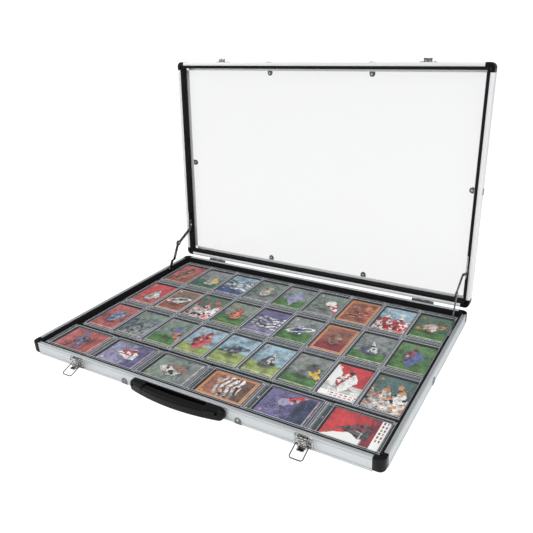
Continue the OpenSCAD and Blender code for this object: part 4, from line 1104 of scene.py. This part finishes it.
MOTIFS = "peaks sails comet leaf planet crystal waves".split()
# Sky, ground, motif's ink, its second ink, border's ink, motif, border's width in hundredths, vivid
CARDS = """
red crimson crimson black white sails 0 1 / violet navy red lilac violet comet 2 0
rust brown white tan orange waves 6 0 / sage grey white brown sage crystal 0 0
lilac violet red white lilac sails 0 0 / salmon salmon brown blue salmon planet 0 0
teal pine white orange teal peaks 0 0 / red white red white white crystal 0 1
grey green yellow black pine comet 0 0 / sky lime white black sky sails 0 0
sky lime black navy sky planet 0 0 / sky lime crimson red sky crystal 0 0
sage green orange blue grey comet 2 0 / sage pine grey navy sage peaks 0 0
salmon salmon sky blue salmon leaf 0 0 / green green crimson blue green crystal 0 0
grey green white navy grey sails 0 0 / rust crimson rust brown orange leaf 6 0
grey green blue white sage planet 0 0 / violet lilac white navy violet waves 0 0
sage green red orange grey leaf 0 0 / pine sage white red yellow peaks 0 0
brown rust stone white tan planet 4 0 / red salmon white stone red sails 0 0
pine green white orange grey planet 0 0 / sky lime red white sky peaks 0 0
rust rust salmon orange orange waves 6 0 / sage grey red white sage comet 0 0
grey green sky lilac grey crystal 0 0 / sage grey white tan stone leaf 0 0
sky blue white blue sky waves 0 0 / grey pine yellow stone grey sails 0 0
salmon rust brown rust salmon crystal 0 0
"""
plans = [line.split() for line in CARDS.replace("\n", "/").split("/") if line.strip()]
print(len(plans), "cards planned for", len(holder_spots()), "holders")


def card_parts():
    """A board per holder: rounded outline, broken edges and a top face mapped to 0..1."""
    w, h = CARD_W / 2, CARD_L / 2
    board = slab(rectangle(-w, -h, w, h, 3.0, 5), 0, 0.6, 0.12)
    at = board["points"][np.concatenate(board["faces"])]
    board["uv"] = (at[:, :2] / [CARD_W, CARD_L] + 0.5) * 1000
    parts = []
    for k, ((x, y, z, origin), plan) in enumerate(zip(holder_spots(), plans)):
        card = placed(board, x, y, z, origin + x * HOLDER_W / 2 + y * (CARD_Y + h) + 2.6 * z)
        for key, ink in zip(("sky", "ground", "main", "second", "border"), plan):
            card["ink_" + key] = (*INKS[ink], 1)
        card["ink_plan"] = (MOTIFS.index(plan[5]) / 10, (k * 0.381966) % 1, int(plan[6]) / 100, int(plan[7]))
        parts.append(card)
    return parts


# %% [markdown]
# ### The print
# The print needs the place on the card, the card's plan, and noise that differs from card to card: its
# coordinates are shifted by the plan's varying number. Cells of a Voronoi pattern break a motif into patches.

# %% What the print is made from
class Print(Finish):
    """The cards' finish, with the fields that every formula of the print draws on, as node values."""

    def __init__(self):
        super().__init__("card_print", (0.5, 0.5, 0.5), 0.42, Specular_IOR_Level=0.1)
        surface = self.node("ShaderNodeUVMap").outputs[0]
        self.x, self.y, _ = self.split("ShaderNodeSeparateXYZ", Vector=surface)
        plan = self.attribute("ink_plan")
        self.kind, self.phase, self.border = self.split("ShaderNodeSeparateColor", Color=plan["Color"])
        self.vivid = Value(self.tree, plan["Alpha"])
        place = self.node("ShaderNodeCombineXYZ", X=self.x * 0.714 + self.phase * 31.0,
                          Y=self.y + self.phase * 17.0, Z=self.kind * 9.0).outputs[0]
        self.blotch = self.noise(place, 3.5, 2.0) - 0.5
        self.grain = self.noise(place, 9.0, 4.0, 0.62) - 0.5
        self.fine = self.noise(place, 38.0, 2.0, 0.6) - 0.5
        cells = self.node("ShaderNodeTexVoronoi", Vector=place, Scale=16.0).outputs["Color"]
        self.cell = self.split("ShaderNodeSeparateColor", Color=cells)[0]
        self.u = (self.x - 0.5) * 0.80 + self.blotch * 0.20 + self.fine * 0.03
        self.v = (self.y - 0.5) * 1.04 + self.grain * 0.12
        self.lean = self.phase - 0.5

    def split(self, kind, **values):
        """The outputs of a node that takes a vector or a colour apart."""
        return [Value(self.tree, output) for output in self.node(kind, **values).outputs]

    def attribute(self, name):
        made = self.node("ShaderNodeAttribute")
        made.attribute_name = name
        return made.outputs

    def ink(self, name):
        return self.attribute("ink_" + name)["Color"]

    def shaded(self, amount, color, dark=0.8, light=0.04):
        """The ink from a darkened to a lightened tone, as amount goes from 0 to 1."""
        low, high = self.mix(dark, color, (0.012, 0.014, 0.016)), self.mix(light, color, (0.95, 0.95, 0.92))
        return self.mix(amount.limited(), low, high)

    def disc(self, cx, cy, r):
        return r - length_of(self.u - cx, self.v - cy)


def length_of(dx, dy):
    return (dx * dx + dy * dy).root()


def inside(field, soft=90.0):
    """1 where a field is positive and 0 where it is negative, with an edge 1 / soft wide."""
    return (field * soft + 0.5).limited()


# %% [markdown]
# Every motif is a field that is positive inside its shape, and a second field for its inner shape. Peaks are
# triangle waves, sails two leaning triangles over a hull, a comet a disc with a wedge behind it, a leaf two
# circles that overlap, a planet a disc with a squashed ring, a crystal a diamond, and waves are sines.

# %% Motifs
def motifs(p):
    u, v, phase, wobble = p.u, p.v, p.phase, p.grain * 0.10
    first_wave = ((u * 3.1 + phase).part() - 0.5).size() * 0.62
    ridge = first_wave + ((u * 7.7 + phase * 3.0).part() - 0.5).size() * 0.16
    peaks = ridge - 0.12 - v + wobble
    mast = u - p.lean * 0.16
    sail = (0.30 - v - mast * 1.7).least(mast).least(v + 0.16)
    jib = (0.24 - v + mast * 2.1).least(-mast - 0.02).least(v + 0.13)
    hull = (v + 0.27).least(-v - 0.16).least(0.24 - mast.size() + v * 0.5)
    slant = u + v * 0.8
    tail = (0.14 - (slant - 0.18).size() * 0.9 + (v - 0.13) * 0.22).least(0.14 - v).least(v + 0.36)
    head = p.disc(0.08, 0.13, 0.12)
    leaf = p.disc(0.17, 0.0, 0.31).least(p.disc(-0.17, 0.06, 0.33))
    ribs = ((v - u.size()) * 9.0).part() - 0.5
    vein = leaf.least(0.014 - (u - v * 0.25).size().least(ribs.size() * 0.10))
    planet = p.disc(0.0, 0.02, 0.17)
    across, upright = (u * 0.94 + v * 0.34) * 0.52, (v - u * 0.36 - 0.02) * 1.75
    ring = 0.024 - (length_of(across, upright) - 0.16).size()
    crystal = 0.32 - (u * 1.3).size() - (v - 0.02).size() * 0.8 + wobble * 0.5
    facet = crystal.least(u * 0.9 - v * 0.35 + p.lean * 0.1)
    swell = ((u * 11.0 + phase * 6.0).wave() * 0.28 + v * 8.0).part()
    waves = ((swell - 0.42) * 0.12).least(0.26 - v.size())
    sun = p.disc(0.16, 0.27, 0.07)
    return [(peaks, peaks.least(v - 0.08 + wobble).most(sun)), (sail.most(jib).most(hull), jib.most(hull)),
            (tail.most(head), head), (leaf, vein), (planet.most(ring), ring), (crystal, facet),
            (waves.most(sun), sun)]


def chosen(p, fields):
    """Adds up the fields, each times 1 if the card's plan asks for it and 0 if not."""
    shares = [field * ((p.kind - number / 10).size() < 0.05) for number, field in enumerate(fields)]
    return sum(shares[1:], shares[0])


# %% [markdown]
# The scene behind a motif has a mottled sky, small lights high up, and mown ground below a horizon.
# A motif gets a dark outline and patches in four inks. Over it all lie a foot band, coloured tabs,
# a round badge and a border.

# %% Card print
def scenery(p):
    bright = p.grain * 2.6 + p.blotch * 1.6 + p.v * 0.6 + 0.5
    far = p.shaded(bright * (1.0 - p.vivid * 0.4) + p.vivid * 0.35, p.ink("sky"))
    lights = inside(p.fine - 0.10, 12.0) * inside(p.v + 0.02, 8.0) * (1.0 - p.vivid)
    far = p.mix(lights * 0.4, far, p.mix(0.5, p.ink("second"), (0.7, 0.7, 0.68)))
    wedge = inside(-p.u * 0.9 - p.v * 0.5 - 0.09, 40.0) * p.vivid
    far = p.mix(wedge, far, (0.80, 0.79, 0.78))
    mown = (p.u * 14.0 + p.v * 9.0).wave() * 0.18 + p.grain * 2.0 + p.fine * 1.2 + 0.5
    near = p.shaded(mown, p.ink("ground"), 0.7)
    horizon = -p.v - 0.12 + p.lean * 0.14 + p.grain * 0.08
    return p.mix(inside(horizon, 30.0), far, near)


def figure(p, scene):
    main, second = (chosen(p, fields) for fields in zip(*motifs(p)))
    folds = p.grain * 3.4 + p.fine * 1.6 + (p.u * 30.0 + p.v * 12.0).wave() * 0.14 + p.u * 1.2 + 0.55
    body, trim = p.shaded(folds, p.ink("main"), 0.78, 0.05), p.shaded(folds + 0.2, p.ink("second"), 0.6, 0.1)
    color = p.mix(inside(p.cell - 0.70, 60.0), body, trim)
    color = p.mix(inside(0.10 - p.cell, 60.0), color, (0.02, 0.02, 0.026))
    color = p.mix(inside(p.cell - 0.94, 60.0) * 0.6, color, (0.55, 0.52, 0.48))
    shadow = inside(-p.v - 0.16, 60.0) * inside(0.30 - (p.v + 0.22).size() * 4.0 - p.u.size(), 14.0)
    scene = p.mix(shadow * 0.55, scene, (0.012, 0.014, 0.012))
    scene = p.mix(inside(main + 0.014, 80.0) * 0.5, scene, (0.014, 0.014, 0.018))
    return p.mix(inside(second, 80.0), p.mix(inside(main, 80.0), scene, color), trim)


def furniture(p, color):
    """The foot band with its tabs, the badge and the border."""
    x, y, plain, crisp = p.x, p.y, 1.0 - p.vivid, 300.0
    foot = inside(0.15 - y, crisp) * p.vivid + inside(0.014 - (y - 0.055).size(), crisp) * plain * 0.75
    color = p.mix(foot.limited(), color, p.mix(p.vivid, (0.50, 0.47, 0.40), (0.86, 0.86, 0.84)))
    rows = inside(0.013 - (y - 0.045).size(), crisp) + inside(0.016 - (y - 0.105).size(), crisp) * p.vivid
    columns = inside(0.34 - ((x * 8.0 + p.phase).part() - 0.5).size(), 40.0) * inside(x - 0.25, crisp)
    turn = (x * 2.7 + y * 9.0 + p.phase).part()
    tab = p.mix(inside(turn - 0.4, crisp), p.ink("main"), (0.04, 0.07, 0.24))
    tab = p.mix(inside(turn - 0.75, crisp), tab, (0.60, 0.42, 0.05))
    color = p.mix((rows * columns * (p.vivid * 0.4 + 0.6)).limited(), color, tab)
    badge = inside(0.032 - length_of((x - 0.13) * 0.714, y - 0.90), crisp)
    color = p.mix(badge, color, p.mix(0.5, p.ink("second"), (0.60, 0.22, 0.06)))
    rim = (x.least(1.0 - x) * 0.714).least(y.least(1.0 - y))
    return p.mix(inside(p.border - rim, crisp), color, p.shaded(p.grain * 2.0 + 0.7, p.ink("border"), 0.3, 0.1))


def card_print():
    p = Print()
    p.set(Base_Color=furniture(p, figure(p, scenery(p))), Roughness=p.grain * 0.2 + 0.42)
    return p.material


make_piece("card_boards", card_parts(), card_print(), "base", ["trading_cards"], crease=50)

# %% Materials for the nodes that stay as they are
kept = {"bottom_panel": panel_black, "base_pads": rubber, "foam_floor": foam, "lid_window": window_clear,
        "hinge_pins": dark_steel}
for name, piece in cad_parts.items():
    if not piece.hide_render:
        piece.data.materials.clear()
        piece.data.materials.append(kept.get(name, steel))

# %% [markdown]
# ## Floor and light
# A plain pale floor and a white surround, as in a photo studio. The surround shows white to the camera and in
# reflections, and lights the case at a plain level.

# %% Studio
def ray_kinds(tree):
    """1 for a ray that the camera sees, straight or through glass, and 1 for a glossy one."""
    path = tree.nodes.new("ShaderNodeLightPath").outputs
    camera, glass, glossy = (Value(tree, path[f"Is {kind} Ray"]) for kind in ("Camera", "Transmission", "Glossy"))
    return camera.most(glass), glossy


def studio():
    half, below = 6.0, -0.0003
    mesh = bpy.data.meshes.new("floor")
    corners = [(x * half, y * half, below) for x, y in ((-1, -1), (1, -1), (1, 1), (-1, 1))]
    mesh.from_pydata(corners, [], [(0, 1, 2, 3)])
    floor = bpy.data.objects.new("floor", mesh)
    bpy.context.scene.collection.objects.link(floor)
    look = Finish("pale_floor", (0.93, 0.93, 0.93), 0.9, Emission_Color=(1, 1, 1))
    seen, _ = ray_kinds(look.tree)
    look.set(Emission_Strength=seen * 1.11, Base_Color=seen * -0.83 + 0.93)
    mesh.materials.append(look.material)
    world = bpy.data.worlds.new("surround")
    world.use_nodes = True
    bpy.context.scene.world = world
    back = world.node_tree.nodes["Background"].inputs
    seen, glossy = ray_kinds(world.node_tree)
    feed(world.node_tree, back["Color"], (1, 1, 1))
    feed(world.node_tree, back["Strength"], seen * 0.54 + glossy * -0.3 + 0.6)
    for name, place, aim, side, power in (
        ("key", (0.9, -1.3, 1.7), (0, 0, 0.1), 1.2, 16),
        ("fill", (-1.6, -0.8, 1.2), (0, 0, 0.1), 1.6, 9),
        ("top", (0, 0.1, 2.4), (0, 0, 0), 1.8, 12),
        ("side", (2.2, -0.3, 0.5), (0.3, 0, 0), 1.4, 9),
    ):
        lamp = bpy.data.lights.new(name, "AREA")
        lamp.energy, lamp.size = power, side
        behind = unit(np.subtract(place, aim))
        right = unit(np.cross([0, 1, 0.001], behind))
        into_scene(lamp, place, (right, np.cross(behind, right), behind))
    bpy.context.scene.view_settings.view_transform = "Standard"


studio()
